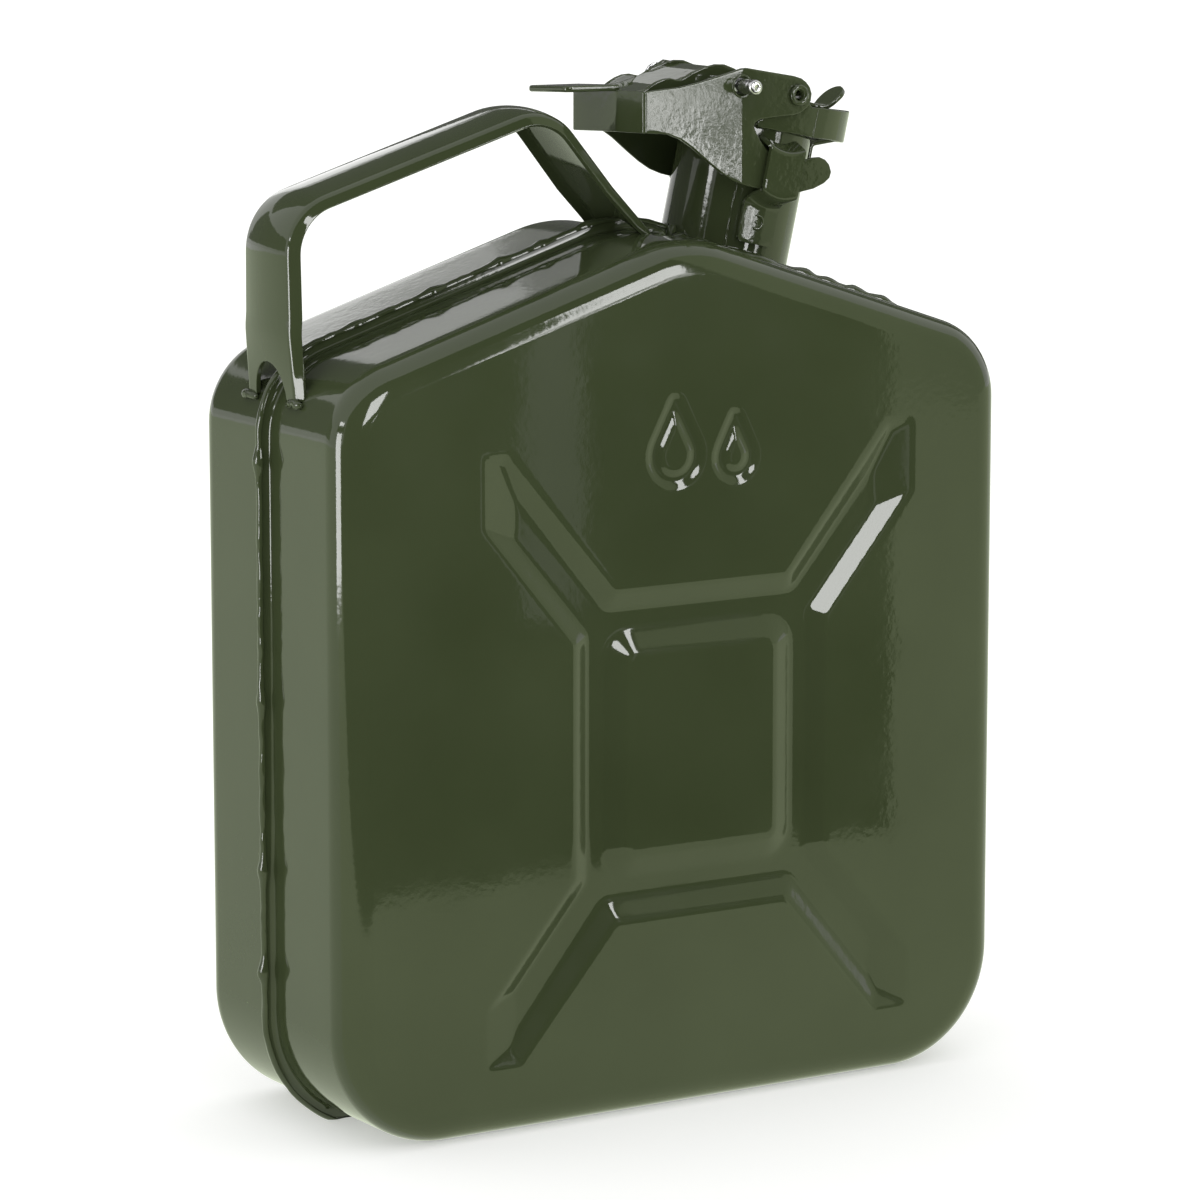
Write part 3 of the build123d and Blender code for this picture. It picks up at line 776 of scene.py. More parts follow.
def handle():
    """A bent strip whose edges roll over between two wide, arched feet."""
    line = rounded(HANDLE_LINE, [0, 20, 20, 20, 0], 1.6, False)
    normals, _ = line_normals(line, False)
    along = distances(line)
    length = along[-1]
    rolled = HANDLE_FLAT + HANDLE_BEND * HANDLE_TURN + HANDLE_LIP
    # Places across half the strip, close together where its edge rolls over
    half = [0, 2, 4, 5.6, 7.0, 8.0, 8.7, 9.1, 9.4, 10.2, 11.0, 11.6, 12.1, 12.6, 13.1, 13.6, 14.1, 14.6,
            15.1, 15.6, 16.1, 16.8, HANDLE_HALF_FOOT]
    spots = [-a for a in half[:0:-1]] + half
    rows = 150

    def arch(a):
        """How high the arch between the toes of a foot is, at a place across the strip."""
        share = abs(a) / ARCH_HALF_WIDTH
        return ARCH_HEIGHT * sqrt(1 - share * share) if share < 1 else 0.0

    points = []
    for i in range(rows + 1):
        for a in spots:
            ease = i / rows
            s = arch(a) * (1 - ease) + (length - arch(a)) * ease
            from_foot = min(s, length - s)
            t = np.clip((from_foot - 2) / (HANDLE_FLARE - 2), 0, 1)
            bend = HANDLE_TURN * np.clip(from_foot / 12, 0.5, 1)
            flat = HANDLE_FLAT + (HANDLE_HALF_FOOT - rolled) * (1 - t)
            # How far the place is past the flat part, along the sheet
            e = abs(a) / HANDLE_HALF_FOOT * (flat + rolled - HANDLE_FLAT) - flat
            if e <= 0:
                across, deep = flat + e, 0.0
            elif e < HANDLE_BEND * bend:
                turn = e / HANDLE_BEND
                across, deep = flat + HANDLE_BEND * sin(turn), HANDLE_BEND * (1 - cos(turn))
            else:
                rest = e - HANDLE_BEND * bend
                across = flat + HANDLE_BEND * sin(bend) + rest * cos(bend)
                deep = HANDLE_BEND * (1 - cos(bend)) + rest * sin(bend)
            deep += HANDLE_CROWN * (across / HANDLE_FLAT) ** 2 * np.clip(from_foot / 25, 0, 1)
            x = np.interp(s, along, line[:, 0]) + np.interp(s, along, normals[:, 0]) * deep
            z = np.interp(s, along, line[:, 1]) + np.interp(s, along, normals[:, 1]) * deep
            points.append((x, across if a > 0 else -across, z))
    faces = [tuple(reversed(f)) for f in grid_faces(rows + 1, len(spots))]
    make_sheet("handle_strip", "handle", points, faces, TANK_PAINT, HANDLE_THICKNESS, 0.45)


def tank_height(x):
    """The height of the tank's top at x."""
    line, _ = tank_line(1.0)
    top = line[line[:, 1] > SHOULDER_HEIGHT - 60]
    top = top[np.argsort(top[:, 0])]
    return np.interp(x, top[:, 0], top[:, 1])


def handle_welds(name, node, x, z, seed):
    """The two fillets under one foot of the handle."""
    runs = []
    for side in (-1, 1):
        line = [(x + 0.5 * wobble((y, 0, 0), 3, seed), side * y, z + 0.7 * wobble((y, 1, 0), 4, seed))
                for y in np.arange(9.0, 18.6, 0.7)]
        runs.append(bead(line, 1.3, seed + side, lump=0.3, lump_size=3.6))
    make_piece(name, "can", node, *joined(*runs), WELD_PAINT)


# Filler neck

NECK_WALL = 1.0
NECK_DIP = 7.0
RIM_LIP = 3.0
SEAM_TURN = radians(33)
BREATHER_U = -16.2


def filler_neck():
    """The tube, its edge rolled in to a flat rim, and the raised line of its own seam."""
    outer, inner, lip = NECK_RADIUS, NECK_RADIUS - NECK_WALL, NECK_RADIUS - RIM_LIP
    roll = 1.0
    profile = [(inner, -NECK_DIP), (outer, -NECK_DIP)]
    profile += [(outer, v) for v in np.linspace(-NECK_DIP + 4, NECK_TOP - roll, 12)]
    profile += [on_circle((outer - roll, NECK_TOP - roll), roll, a) for a in (30, 60, 90)]
    profile += [(lip + 0.3, NECK_TOP), (lip, NECK_TOP - 0.3), (lip, NECK_TOP - NECK_WALL),
                (inner, NECK_TOP - NECK_WALL)]
    tube = on_neck(profile, 128)
    middle = NECK_RADIUS - 0.25
    ridge = [neck_point(-middle * sin(SEAM_TURN), v, -middle * cos(SEAM_TURN))
             for v in np.arange(-3, NECK_TOP - 2, 1.0)]
    seam = bead(ridge, 0.55, 4.0, lump_size=2.5, sides=8)
    make_piece("filler_neck_tube", "can", "filler_neck", *joined(tube, seam), TANK_PAINT)


def neck_weld():
    """The fillet where the neck meets the top of the tank."""
    ring = []
    for k in range(110):
        angle = 2 * pi * k / 110
        reach = NECK_RADIUS + 0.5
        v = 0.0
        for _ in range(12):
            p = neck_point(reach * cos(angle), v, reach * sin(angle))
            top = tank_height(p[0])
            if abs(p[1]) < 2.2:
                top += SEAM_PROUD
            v += (top - p[2]) * 0.9
        ring.append(neck_point(reach * cos(angle), v + 0.3, reach * sin(angle)))
    mesh = bead(ring, 2.0, 11.0, lump=0.35, closed=True)
    make_piece("neck_weld_bead", "can", "neck_weld", *mesh, WELD_PAINT)


def breather_tube():
    """The air pipe, from under the rim down into the tank."""
    outer, inner = 3.0, 2.5
    profile = [(inner, -24), (outer, -24), (outer, NECK_TOP - 6), (inner, NECK_TOP - 6)]
    mesh = lathe(profile, neck_point(BREATHER_U, 0, 0), NECK_U, (0, 1, 0), NECK_V, 32)
    make_piece("breather_pipe", "can", "breather_tube", *mesh, TANK_PAINT)


def breather_clip():
    """The open strap that holds the air pipe against the neck's inner wall."""
    turns = [(4.0, a) for a in range(-138, 139, 12)] + [(3.05, a) for a in range(150, -151, -12)]
    outline = [on_circle((BREATHER_U, 0), r, a) for r, a in turns]
    mesh = plate(outline, lambda u, y, v: neck_point(u, v, y), 6.0, 13.0, edge=0.2)
    make_piece("breather_clip_strap", "can", "breather_clip", *mesh, TANK_PAINT)


# Closure parts that stay with the neck

PIVOT_U, PIVOT_V = 0.3, 53.2
PIN_U, PIN_V, PIN_RADIUS = -20.7, 52.0, 2.4
CHEEK_INSIDE, CHEEK_OUTSIDE = 22.7, 24.2
LEVER_SHEET = 1.5
EAR_RADIUS, RIVET_HOLE = 5.4, 2.3
BOW_OUTSIDE, BOW_SHEET, BOW_REAR_CENTRE = 22.3, 1.5, 10.3
RING_U, RING_V = -4.4, 12.2
CATCH_SHEET, CATCH_FOOT_OUT, CATCH_FOOT_V, CATCH_HALF_WIDTH = 1.5, 22.1, 5.4, 6.5


def circle(u, v, radius, count=32):
    """The outline of a round hole, which runs clockwise."""
    return [on_circle((u, v), radius, -360 * k / count) for k in range(count)]


def catch_line():
    """Section of a catch: (distance in front of the mid-plane, V), from its roof to its foot."""
    corners = [(20.2, 39.4), (27.0, 36.7), (27.0, 20.8), (CATCH_FOOT_OUT, 18.2),
               (CATCH_FOOT_OUT, CATCH_FOOT_V)]
    return rounded(corners, [0, 1.6, 2.4, 2.6, 0], 0.6, False)


def catch_bracket(name, node, side):
    """An open loop for the lever's tongue, its top edge dished, on a foot that follows the neck."""
    line, spots = catch_line(), np.linspace(-1, 1, 15)
    points = []
    for out, v in line:
        foot = np.clip((20.2 - v) / 3.0, 0, 1)
        middle = -0.9 * (1 - foot) - 3.4 * foot
        from_end = np.clip((v - CATCH_FOOT_V) / 1.8, 0, 1)
        half = CATCH_HALF_WIDTH - 0.9 * (1 - sqrt(from_end * (2 - from_end)))
        row = []
        for share in spots:
            dish = 1.7 * (1 - share * share) * np.clip((v - 31) / 5, 0, 1)
            bulge = (0.6 + 0.3 * share - 1.8 * share * share) * np.clip(1 - abs(v - 19.5) / 6, 0, 1)
            hug = 0.4 * share * share * foot
            row.append(neck_point(middle + half * share, v - dish - bulge, side * (out - hug)))
        points += row if side > 0 else row[::-1]
    make_sheet(name, node, points, grid_faces(len(line), len(spots)), PRESSED_PAINT, CATCH_SHEET, 0.4)


def bracket_spot_welds():
    """The raised open ring that the weld leaves on the foot of each catch."""
    rings = []
    button = [(0.01, -0.3), (0.8, -0.3), (0.6, 0.2), (0.01, 0.3)]
    for side in (-1, 1):
        middle = neck_point(RING_U, RING_V, side * CATCH_FOOT_OUT)
        ring = [middle + 2.1 * (cos(a) * NECK_U + sin(a) * NECK_V) for a in np.arange(-2.2, 2.3, 0.3)]
        rings.append(bead(ring, 0.5, 5.0 + side, lump=0.1, sides=8))
        rings.append(lathe(button, middle, NECK_U, NECK_V, (0, side, 0), 16))
    make_piece("bracket_weld_rings", "can", "bracket_spot_welds", *joined(*rings), WELD_PAINT)


def bow_edge(u, upper):
    """V of the bow's upper or lower edge at u."""
    if upper:
        return 50.7 + 0.096 * (u - 8)
    return 41.1 + 0.05 * max(u, 0) + 0.3 * wobble((u, 0, 0), 7.0, 3.0)


def bow_side():
    """The side of the bow, with its ear, from the front; y is put in afterwards."""
    ear = [on_circle((PIVOT_U, PIVOT_V), EAR_RADIUS, a) for a in range(-12, 215, 12)]
    lower = [(u, bow_edge(u, False)) for u in np.arange(-9.5, BOW_REAR_CENTRE + 0.1, 1.5)]
    front = [(-9.6, 43.9), (-10.8, 43.2), (-11.4, 42.2), (-10.9, 41.4)]
    upper = [(BOW_REAR_CENTRE, bow_edge(BOW_REAR_CENTRE, True)), (8, 50.7)]
    return lower + upper + ear + [(-3.5, 46.0)] + front


def hinge_bow():
    """The strap round the rear of the neck, with an ear at each end for the lever's rivet."""
    hole = circle(PIVOT_U, PIVOT_V, RIVET_HOLE)
    side = plate(bow_side(), neck_point, -BOW_OUTSIDE, -BOW_OUTSIDE + BOW_SHEET, [hole])
    line = [(BOW_REAR_CENTRE - 1, -BOW_OUTSIDE + 0.04), (BOW_REAR_CENTRE, -BOW_OUTSIDE + 0.04)]
    line += [on_circle((BOW_REAR_CENTRE, 0), BOW_OUTSIDE, a) for a in range(-84, 90, 6)]
    line += [(u, -y) for u, y in line[1::-1]]
    us = [u for u, _ in line]
    lengths = distances(np.array(line))

    def station(share):
        """U at a share of the line's length."""
        return np.interp(share * lengths[-1], lengths, us)

    # The line runs anticlockwise, so the sheet's thickness, put on its right, must lie inside it
    rear = strip([(u, -y) for u, y in line], lambda u, y, v: neck_point(u, v, -y),
                 lambda share: bow_edge(station(share), False), lambda share: bow_edge(station(share), True),
                 BOW_SHEET - 0.08)
    mesh = joined(side, mirrored(side), rear)
    make_piece("hinge_bow_strap", "can", "hinge_bow", *mesh, PRESSED_PAINT)


def bow_stay():
    """The bracket that is welded to the rear of the neck and carries the bow."""
    line = rounded([(22.0, 35.0), (22.0, 41.0), (30.6, 44.0)], [0, 2.5, 0], 0.8, False)
    mesh = strip(line, neck_point, -4.5, 4.5, 1.4)
    make_piece("bow_stay_sheet", "can", "bow_stay", *mesh, PRESSED_PAINT)


def rivet(name, node, side):
    """A hollow rivet: a rolled ring round an open hole."""
    profile = [(1.35, 20.1), (2.9, 20.1), (3.1, 20.4), (3.1, 20.8), (2.2, 20.8), (2.2, 24.4), (3.1, 24.4),
               (3.35, 24.8), (3.25, 25.4), (2.8, 25.7), (2.2, 25.7), (1.75, 25.3), (1.45, 24.6)]
    mesh = across([(r, side * y) for r, y in profile], PIVOT_U, PIVOT_V, 40)
    make_piece(name, "can", node, *mesh, PRESSED_PAINT)


# Lever

NOSE_LOW_Z, NOSE_TOP_Z = 301.2, 313.9
NOSE_FRONT_X, FOLD_X, FAR_FOLD_X = -4.9, -0.6, 3.2
FAR_CHEEK_LOWERED = 3.8
CREASE_X = 34.2
CREASE_WIDTH = 0.8
CHEEK_LEAN = tan(radians(1.8))
TAB_TIP_X, TAB_HALF_WIDTH, TAB_LIFT = -22.0, 11.6, 1.7
NOSE_SKEW = 0.05


def cheek_outline(fold_x, lowered):
    """Side of the lever, anticlockwise: its lower edge, tongue, notch, head and upper edge.

    lowered is how far the upper edge near the nose lies below that of the near side.
    """
    pivot = (PIVOT_U, PIVOT_V)

    def at_fold(z):
        """The place on the vertical line of the fold, at a height."""
        dx, dz = fold_x - NECK_ORIGIN[0], z - NECK_ORIGIN[2]
        return (dx * NECK_U[0] + dz * NECK_U[2], dx * NECK_V[0] + dz * NECK_V[2])

    lower = [at_fold(NOSE_LOW_Z), (-43.5, 32.6), (-38.5, 31.9), (-33.9, 30.2), (-30.0, 28.3), (-26.7, 26.7),
             (-22.0, 24.6), (-17.6, 23.1), (-13.0, 22.4), (-8.2, 22.3)]
    tongue = [on_circle(pivot, 30.9, -95), on_circle(pivot, 30.4, -85), (8.1, 24.0), (13.0, 26.0),
              (16.4, 28.3), (18.1, 30.3), (18.3, 32.3), (17.0, 34.4), (15.2, 35.6), (13.0, 36.0),
              (10.6, 35.4)]
    inner = [on_circle(pivot, 20.4, a) for a in range(-68, -106, -6)]
    notch = [(-7.6, 35.0), (-10.4, 37.2), (-12.6, 39.6), (-13.5, 40.8), (-13.3, 42.0), (-11.6, 43.3)]
    head = [(-6.0, 45.1), (0.4, 46.9), (2.6, 48.0), (4.6, 50.0), (5.6, 52.4), (5.4, 54.6), (4.3, 56.4),
            (2.6, 57.7), (0.6, 58.5), (-2.5, 58.7)]
    upper = [(-12.0, 58.2), (-20.2, 57.8), (-22.2, 57.2), (-27.0, 54.7), (-32.6, 51.9), (-37.0, 49.8),
             (-42.5, 47.5), (-48.0, 45.8)]
    upper = [(u, v - lowered * np.interp(u, (-27, -20), (1, 0))) for u, v in upper]
    upper.append(at_fold(NOSE_TOP_Z - lowered / 3))
    return spaced(lower + tongue + inner + notch + head + upper, 1.6, True)


def nose_point(x, y, z):
    """A place on the nose, whose far side was folded slightly lower than its near side."""
    return np.array([x, y, z - NOSE_SKEW * (min(max(y, -12), 12) + 12)])


def creased(mesh):
    """A cheek with a narrow band of faces along its crease, and everything in front of it leaning."""
    work = bmesh.new()
    vertices = [work.verts.new(p) for p in mesh[0]]
    for face in mesh[1]:
        work.faces.new([vertices[i] for i in face])
    for x in (CREASE_X, CREASE_X - CREASE_WIDTH):
        bmesh.ops.bisect_plane(work, geom=work.verts[:] + work.edges[:] + work.faces[:], dist=1e-5,
                               plane_co=(x, 0, 0), plane_no=(1, 0, 0))
    points = []
    for vertex in work.verts:
        x, y, z = vertex.co
        inwards = max(CREASE_X - x, 0.0) * CHEEK_LEAN
        points.append((x, y + inwards if y < 0 else y - inwards, z))
    work.verts.index_update()
    faces = [tuple(v.index for v in f.verts) for f in work.faces]
    work.free()
    return points, faces


def lever():
    """Two cheeks joined by a folded nose, whose front runs out into the thumb tab."""
    holes = [circle(PIVOT_U, PIVOT_V, 2.4), circle(PIN_U, PIN_V, 3.1)]
    near = creased(plate(cheek_outline(FOLD_X, 0.0), neck_point, -CHEEK_OUTSIDE, -CHEEK_INSIDE, holes))
    far = creased(plate(cheek_outline(FAR_FOLD_X, FAR_CHEEK_LOWERED), neck_point, CHEEK_INSIDE, CHEEK_OUTSIDE,
                        holes))
    burr = bead([neck_point(u, v, -CHEEK_OUTSIDE + 0.1) for u, v in circle(PIN_U, PIN_V, 3.35)], 0.42, 8.0,
                lump=0.35, lump_size=1.5, sides=8, closed=True)
    side = CHEEK_OUTSIDE - CHEEK_LEAN * (CREASE_X - FOLD_X) - 0.03
    fold = [(FOLD_X + 1.2, -side), (FOLD_X - 0.7, -side), (NOSE_FRONT_X, -13.4), (NOSE_FRONT_X, 12.0),
            (FAR_FOLD_X - 0.7, side), (FAR_FOLD_X + 1.2, side)]
    # Seen from above the line runs towards +Y, so its right is the inside of the nose
    line = rounded([(-x, y) for x, y in fold], [0, 0.8, 3.0, 1.5, 0.8, 0], 0.7, False)
    wall = strip([(x, -y) for x, y in line], lambda x, y, z: nose_point(-x, -y, z),
                 NOSE_LOW_Z, NOSE_TOP_Z + 0.02, LEVER_SHEET - 0.08)
    mesh = joined(near, far, burr, wall, thumb_tab())
    make_piece("lever_sheet", "lever", "lever", *mesh, PRESSED_PAINT)


def thumb_tab():
    """The tab folded out of the top of the nose."""
    low = NOSE_TOP_Z + TAB_LIFT - 2.0
    tip, half, corner = TAB_TIP_X, TAB_HALF_WIDTH, 2.2
    outline = rounded([(-2.9, -half - 0.4), (-2.9, half + 0.4), (tip, half), (tip, -half)],
                      [0.5, 0.5, corner, corner], 1.2, True)
    return plate(outline, lambda x, y, z: nose_point(x, y, z + 0.012 * (-5 - x)), low, low + 2.0, edge=0.7)


def lid_pin():
    """The zinc-plated cross pin, its front end standing well proud of the cheek."""
    r = PIN_RADIUS
    profile = [(0.01, -32.4), (r - 0.7, -32.3), (r - 0.25, -32.0), (r, -31.3), (r, -30.5), (r - 0.15, -30.1),
               (r - 0.15, -29.5), (r, -29.1), (r, 26.6), (r - 0.6, 27.2), (0.01, 27.2)]
    mesh = across(profile, PIN_U, PIN_V, 40)
    make_piece("lid_pin_rod", "lever", "lid_pin", *mesh, ZINC, "zinc_plate")


def pin_clip():
    """The retaining washer on the far end of the pin."""
    profile = [(PIN_RADIUS, 24.3), (4.4, 24.3), (4.6, 24.5), (4.6, 25.0), (4.4, 25.2), (PIN_RADIUS, 25.2)]
    mesh = across(profile, PIN_U, PIN_V, 36)
    make_piece("pin_clip_ring", "lever", "pin_clip", *mesh, ZINC, "zinc_plate")


# Lid

LID_SEAT = NECK_TOP + 0.1
GASKET_THICKNESS = 2.5
LID_RADIUS, LID_SHEET, LID_ROUNDING = 19.8, 1.2, 1.4


def lid_cap():
    """The pressed lid: a flat disc with a rounded, turned-down edge."""
    r, top, under = LID_RADIUS, LID_SEAT + GASKET_THICKNESS + LID_SHEET, LID_SEAT + GASKET_THICKNESS
    profile = [(0.01, under), (r - LID_ROUNDING, under), (r - LID_SHEET, top - 1.5),
               (r - LID_SHEET, top - 3.0), (r, top - 3.0)]
    profile += [on_circle((r - LID_ROUNDING, top - LID_ROUNDING), LID_ROUNDING, a) for a in (0, 30, 60, 90)]
    profile += [(12.0, top), (11.0, top - 0.3), (0.01, top - 0.3)]
    make_piece("lid_cap_pressing", "lid", "lid_cap", *on_neck(profile), PRESSED_PAINT)


def lid_gasket():
    """The rubber ring that seats on the neck's rim."""
    outer, inner, low, high = LID_RADIUS - 1.25, 15.6, LID_SEAT, LID_SEAT + GASKET_THICKNESS
    profile = [(inner, low + 0.3), (inner + 0.3, low), (outer - 0.4, low), (outer, low + 0.4), (outer, high),
               (inner, high)]
    make_piece("gasket_ring", "lid", "lid_gasket", *on_neck(profile), RUBBER, "gasket_rubber")


def gasket_retainer():
    """The shallow pressed cup inside the gasket."""
    low, high = LID_SEAT - 0.6, LID_SEAT + GASKET_THICKNESS
    profile = [(0.01, high - 0.8), (14.3, high - 0.8), (14.6, high - 1.1), (14.7, low), (15.4, low),
               (15.4, high - 0.5), (14.9, high), (0.01, high)]
    make_piece("gasket_retainer_cup", "lid", "gasket_retainer", *on_neck(profile), PRESSED_PAINT)


SADDLE_HALF_WIDTH, SADDLE_SHEET = 12.4, 1.5


def saddle_flange():
    """Side of the saddle, whose upper edge stands proud of the strap in two humps."""
    upper = [(-8.0, 54.6), (-12.0, 56.2), (-16.9, 57.6), (-20.7, 58.1), (-24.0, 57.5), (-28.0, 55.8),
             (-32.0, 53.4), (-34.4, 51.3), (-35.8, 50.3), (-37.4, 50.2), (-39.4, 50.2), (-42.0, 49.4),
             (-44.2, 48.1), (-46.0, 46.6), (-47.6, 45.0), (-50.6, 43.6)]
    lower = [(-50.8, 42.6), (-46.0, 42.4), (-38.0, 45.0), (-29.0, 48.0), (-19.0, 48.2),
             (-12.0, LID_SEAT + 3.75), (10.0, LID_SEAT + 3.75), (11.0, 53.4)]
    return spaced(upper + lower, 1.4, True)


def lid_saddle():
    """The strap over the pin that carries the lid, between two flanges, and its curled tail."""
    hole = circle(PIN_U, PIN_V, PIN_RADIUS + 0.1)
    flange = plate(saddle_flange(), neck_point, -SADDLE_HALF_WIDTH, -SADDLE_HALF_WIDTH + SADDLE_SHEET, [hole])
    corners = [(-51.6, 43.4), (-41.5, 47.4), (-28.4, 54.7), (-22.5, 57.0), (-15.5, 57.0), (-7.5, 54.8),
               (13, 54.6)]
    line = rounded(corners, [0, 8, 8, 5, 5, 6, 0], 0.9, False)
    strap = strip(line, neck_point, -SADDLE_HALF_WIDTH + 1.3, SADDLE_HALF_WIDTH - 1.3, 1.4)
    mesh = joined(flange, mirrored(flange), strap, saddle_tail())
    make_piece("lid_saddle_strap", "lid", "lid_saddle", *mesh, PRESSED_PAINT)


def saddle_tail():
    """The finger tail over the bow: narrow, then a round paddle that curls up."""
    line = rounded([(11.0, 54.6), (20.5, 53.4), (25.6, 53.2), (31.8, 60.6)], [0, 3, 3, 0], 0.4, False)

    def half(share):
        """Half the tail's width at a share of its length."""
        if share < 0.5:
            return 4.6 - 2.4 * sin(share * pi)
        turn = min((share - 0.5) / 0.5, 1.0)
        if turn < 0.62:
            return 2.2 + 2.6 * sin(min(turn * 1.9, 1) * pi / 2)
        return max(0.75, 4.8 * sqrt(max(0.0, 1 - ((turn - 0.62) / 0.38) ** 2)))

    return strip(line, neck_point, lambda share: -half(share), half, SADDLE_SHEET)


# Studio

CAMERA_AZIMUTH, CAMERA_ELEVATION = radians(-32.1), radians(9.8)
CAMERA_DISTANCE = 1.628
CAMERA_TARGET = Vector((-0.0026, 0.0, 0.1538))
CAMERA_LENS = 156.06
FLOOR_HALF_WIDTH = 12
SOFT_BOX, UNLIT = 12.0, 0.0
MOTTLE_SCALE, MOTTLE_START, MOTTLE_END = 42.0, 0.42, 0.66


def camera():
    """The view of the can from the front left, a little above it."""
    data = bpy.data.cameras.new("camera")
    data.lens = CAMERA_LENS
    data.sensor_width = 36.0
    data.clip_start = 0.05
    data.clip_end = 60.0
    view = bpy.data.objects.new("camera", data)
    bpy.context.scene.collection.objects.link(view)
    level = cos(CAMERA_ELEVATION)
    away = Vector((sin(CAMERA_AZIMUTH) * level, -cos(CAMERA_AZIMUTH) * level, sin(CAMERA_ELEVATION)))
    view.location = CAMERA_TARGET + away * CAMERA_DISTANCE
    view.rotation_euler = (-away).to_track_quat("-Z", "Y").to_euler()
    bpy.context.scene.camera = view


def emitting(name, strength, colour):
    """A material that only gives out light."""
    material = bpy.data.materials.new(name)
    material.use_nodes = True
    nodes = material.node_tree.nodes
    nodes.clear()
    light = nodes.new("ShaderNodeEmission")
    light.inputs["Color"].default_value = colour
    light.inputs["Strength"].default_value = strength
    output = nodes.new("ShaderNodeOutputMaterial")
    material.node_tree.links.new(light.outputs["Emission"], output.inputs["Surface"])
    return material


def card(name, corner, along, up, strength, colour=(1, 1, 1), mottle=False):
    """A flat card seen only in reflections: metres, from a corner along two edges."""
    corner, along, up = Vector(corner), Vector(along), Vector(up)
    piece = add_object(name, [corner, corner + along, corner + along + up, corner + up], [(0, 1, 2, 3)])
    material = emitting(name, strength, (*colour, 1))
    if mottle:
        tree = material.node_tree
        place = tree.nodes.new("ShaderNodeTexCoord")
        patches = noise_node(tree, place, MOTTLE_SCALE, 1.0)
        tone = ramp_node(tree, patches, (0.1,) * 3, (1,) * 3, MOTTLE_START, MOTTLE_END)
        tree.links.new(tone.outputs["Color"], tree.nodes["Emission"].inputs["Color"])
    piece.data.materials.append(material)
    piece.visible_camera = False
    piece.visible_diffuse = False
    piece.visible_shadow = False
    piece.visible_transmission = False


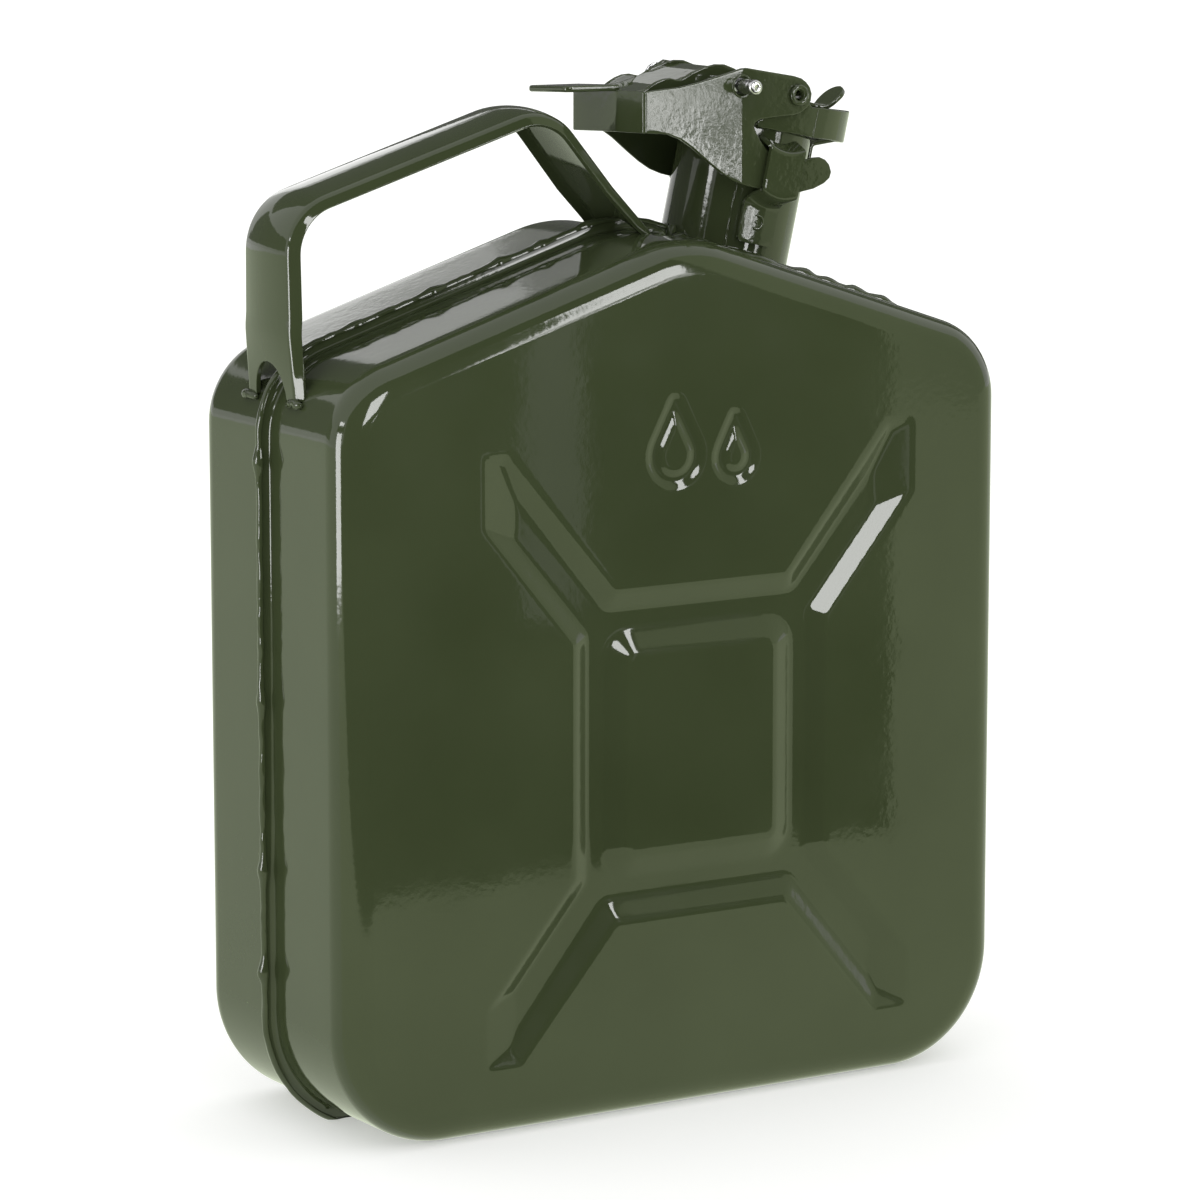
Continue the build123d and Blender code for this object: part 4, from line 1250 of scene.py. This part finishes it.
def studio():
    """White surroundings, a pale floor, and dark cards and soft boxes seen only in reflections."""
    bpy.context.scene.view_settings.view_transform = "Standard"
    world = bpy.data.worlds.new("studio")
    bpy.context.scene.world = world
    world.use_nodes = True
    world.node_tree.nodes["Background"].inputs["Color"].default_value = (1, 1, 1, 1)
    world.node_tree.nodes["Background"].inputs["Strength"].default_value = 1.0
    far = FLOOR_HALF_WIDTH
    corners = [(-far, -far, 0), (far, -far, 0), (far, far, 0), (-far, far, 0)]
    floor = add_object("floor", corners, [(0, 1, 2, 3)])
    material, _, shader = new_material("pale_floor")
    shader.inputs["Base Color"].default_value = (0.8, 0.8, 0.8, 1)
    shader.inputs["Roughness"].default_value = 0.9
    shader.inputs["Emission Color"].default_value = (1, 1, 1, 1)
    shader.inputs["Emission Strength"].default_value = 0.35
    floor.data.materials.append(material)
    # Corner, edge along, edge up (metres), strength
    cards = {
        "dark_screen": ((-1.2, -0.34, 0.0), (1.484, 0, 0), (0, 0, 0.235), UNLIT),
        "screen_gap": ((0.119, -0.335, 0.10), (0.024, 0, 0), (0, 0, 0.14), 0.5),
        "dark_room": ((-3.5, -1.30, 0.0), (4.43, 0, 0), (0, 0, 2.4), UNLIT),
        "front_box": ((0.528, -1.20, 0.35), (0.289, 0, 0), (-0.113, 0, 0.75), SOFT_BOX),
        "upper_box": ((-0.42, -1.25, 0.45), (0.50, 0, 0), (0, 0, 0.60), SOFT_BOX),
        "front_mask": ((0.712, -1.199, 0.34), (0.12, 0, 0), (0, 0, 0.80), UNLIT),
        "left_box": ((-1.0, -0.24, 0.02), (0, 0.28, 0), (0, 0, 0.40), SOFT_BOX),
        "left_box_high": ((-1.0, -0.24, 0.552), (0, 0.28, 0), (0, 0, 0.07), SOFT_BOX),
        "left_gap": ((-1.001, -0.34, 0.42), (0, 0.44, 0), (0, 0, 0.132), UNLIT),
        "neck_box": ((0.09, -1.20, 0.245), (0.13, 0, 0), (0, 0, 0.035), SOFT_BOX),
        "left_room": ((-3.0, 2.0, 0.32), (2.6, 0, 0), (0, 0, 0.8), 0.15),
        "rear_box": ((0.30, 1.42, 0.45), (0.30, 0, 0), (0, 0, 0.40), 1.9),
        "rear_side": ((0.60, 1.43, 0.20), (3.0, 0, 0), (0, 0, 0.65), 0.12),
        "rear_strip": ((0.575, 1.44, 0.85), (0.095, 0, 0), (0, 0, 0.10), 0.5),
        "rear_dark": ((-0.5, 1.43, 0.95), (4.0, 0, 0), (0, 0, 2.0), 0.12),
    }
    for name, (corner, along, up, strength) in cards.items():
        card(name, corner, along, up, strength)
    card("front_box_low", (0.535, -1.20, 0.10), (0.235, 0, 0), (-0.037, 0, 0.25), 13.0, mottle=True)
    card("right_wall", (0.90, -1.34, 0.0), (4.0, 0, 0), (0, 0, 3.0), 1.0, (0.55, 0.62, 0.41))
    card("front_floor", (-4.0, -4.0, 0.0004), (8.0, 0, 0), (0, 3.96, 0), 1.0, (0.81, 0.90, 0.60))
    card("rear_floor", (-4.0, -0.04, 0.0004), (8.0, 0, 0), (0, 4.0, 0), 1.0, (0.87, 0.95, 0.74))


def build():
    """Makes the studio and every piece of the can."""
    camera()
    studio()
    shell("front_shell_sheet", True)
    shell("rear_shell_sheet", False)
    seam_weld()
    handle()
    handle_welds("handle_weld_side_beads", "handle_weld_side", -118.5, 225.4, 21.0)
    handle_welds("handle_weld_top_beads", "handle_weld_top", 9.4, tank_height(9.4) + 0.1, 23.0)
    filler_neck()
    neck_weld()
    breather_tube()
    breather_clip()
    catch_bracket("catch_front_sheet", "catch_bracket_front", -1)
    catch_bracket("catch_rear_sheet", "catch_bracket_rear", 1)
    bracket_spot_welds()
    hinge_bow()
    bow_stay()
    rivet("rivet_front_ring", "pivot_rivet_front", -1)
    rivet("rivet_rear_ring", "pivot_rivet_rear", 1)
    lever()
    lid_pin()
    pin_clip()
    lid_cap()
    lid_gasket()
    gasket_retainer()
    lid_saddle()


build()
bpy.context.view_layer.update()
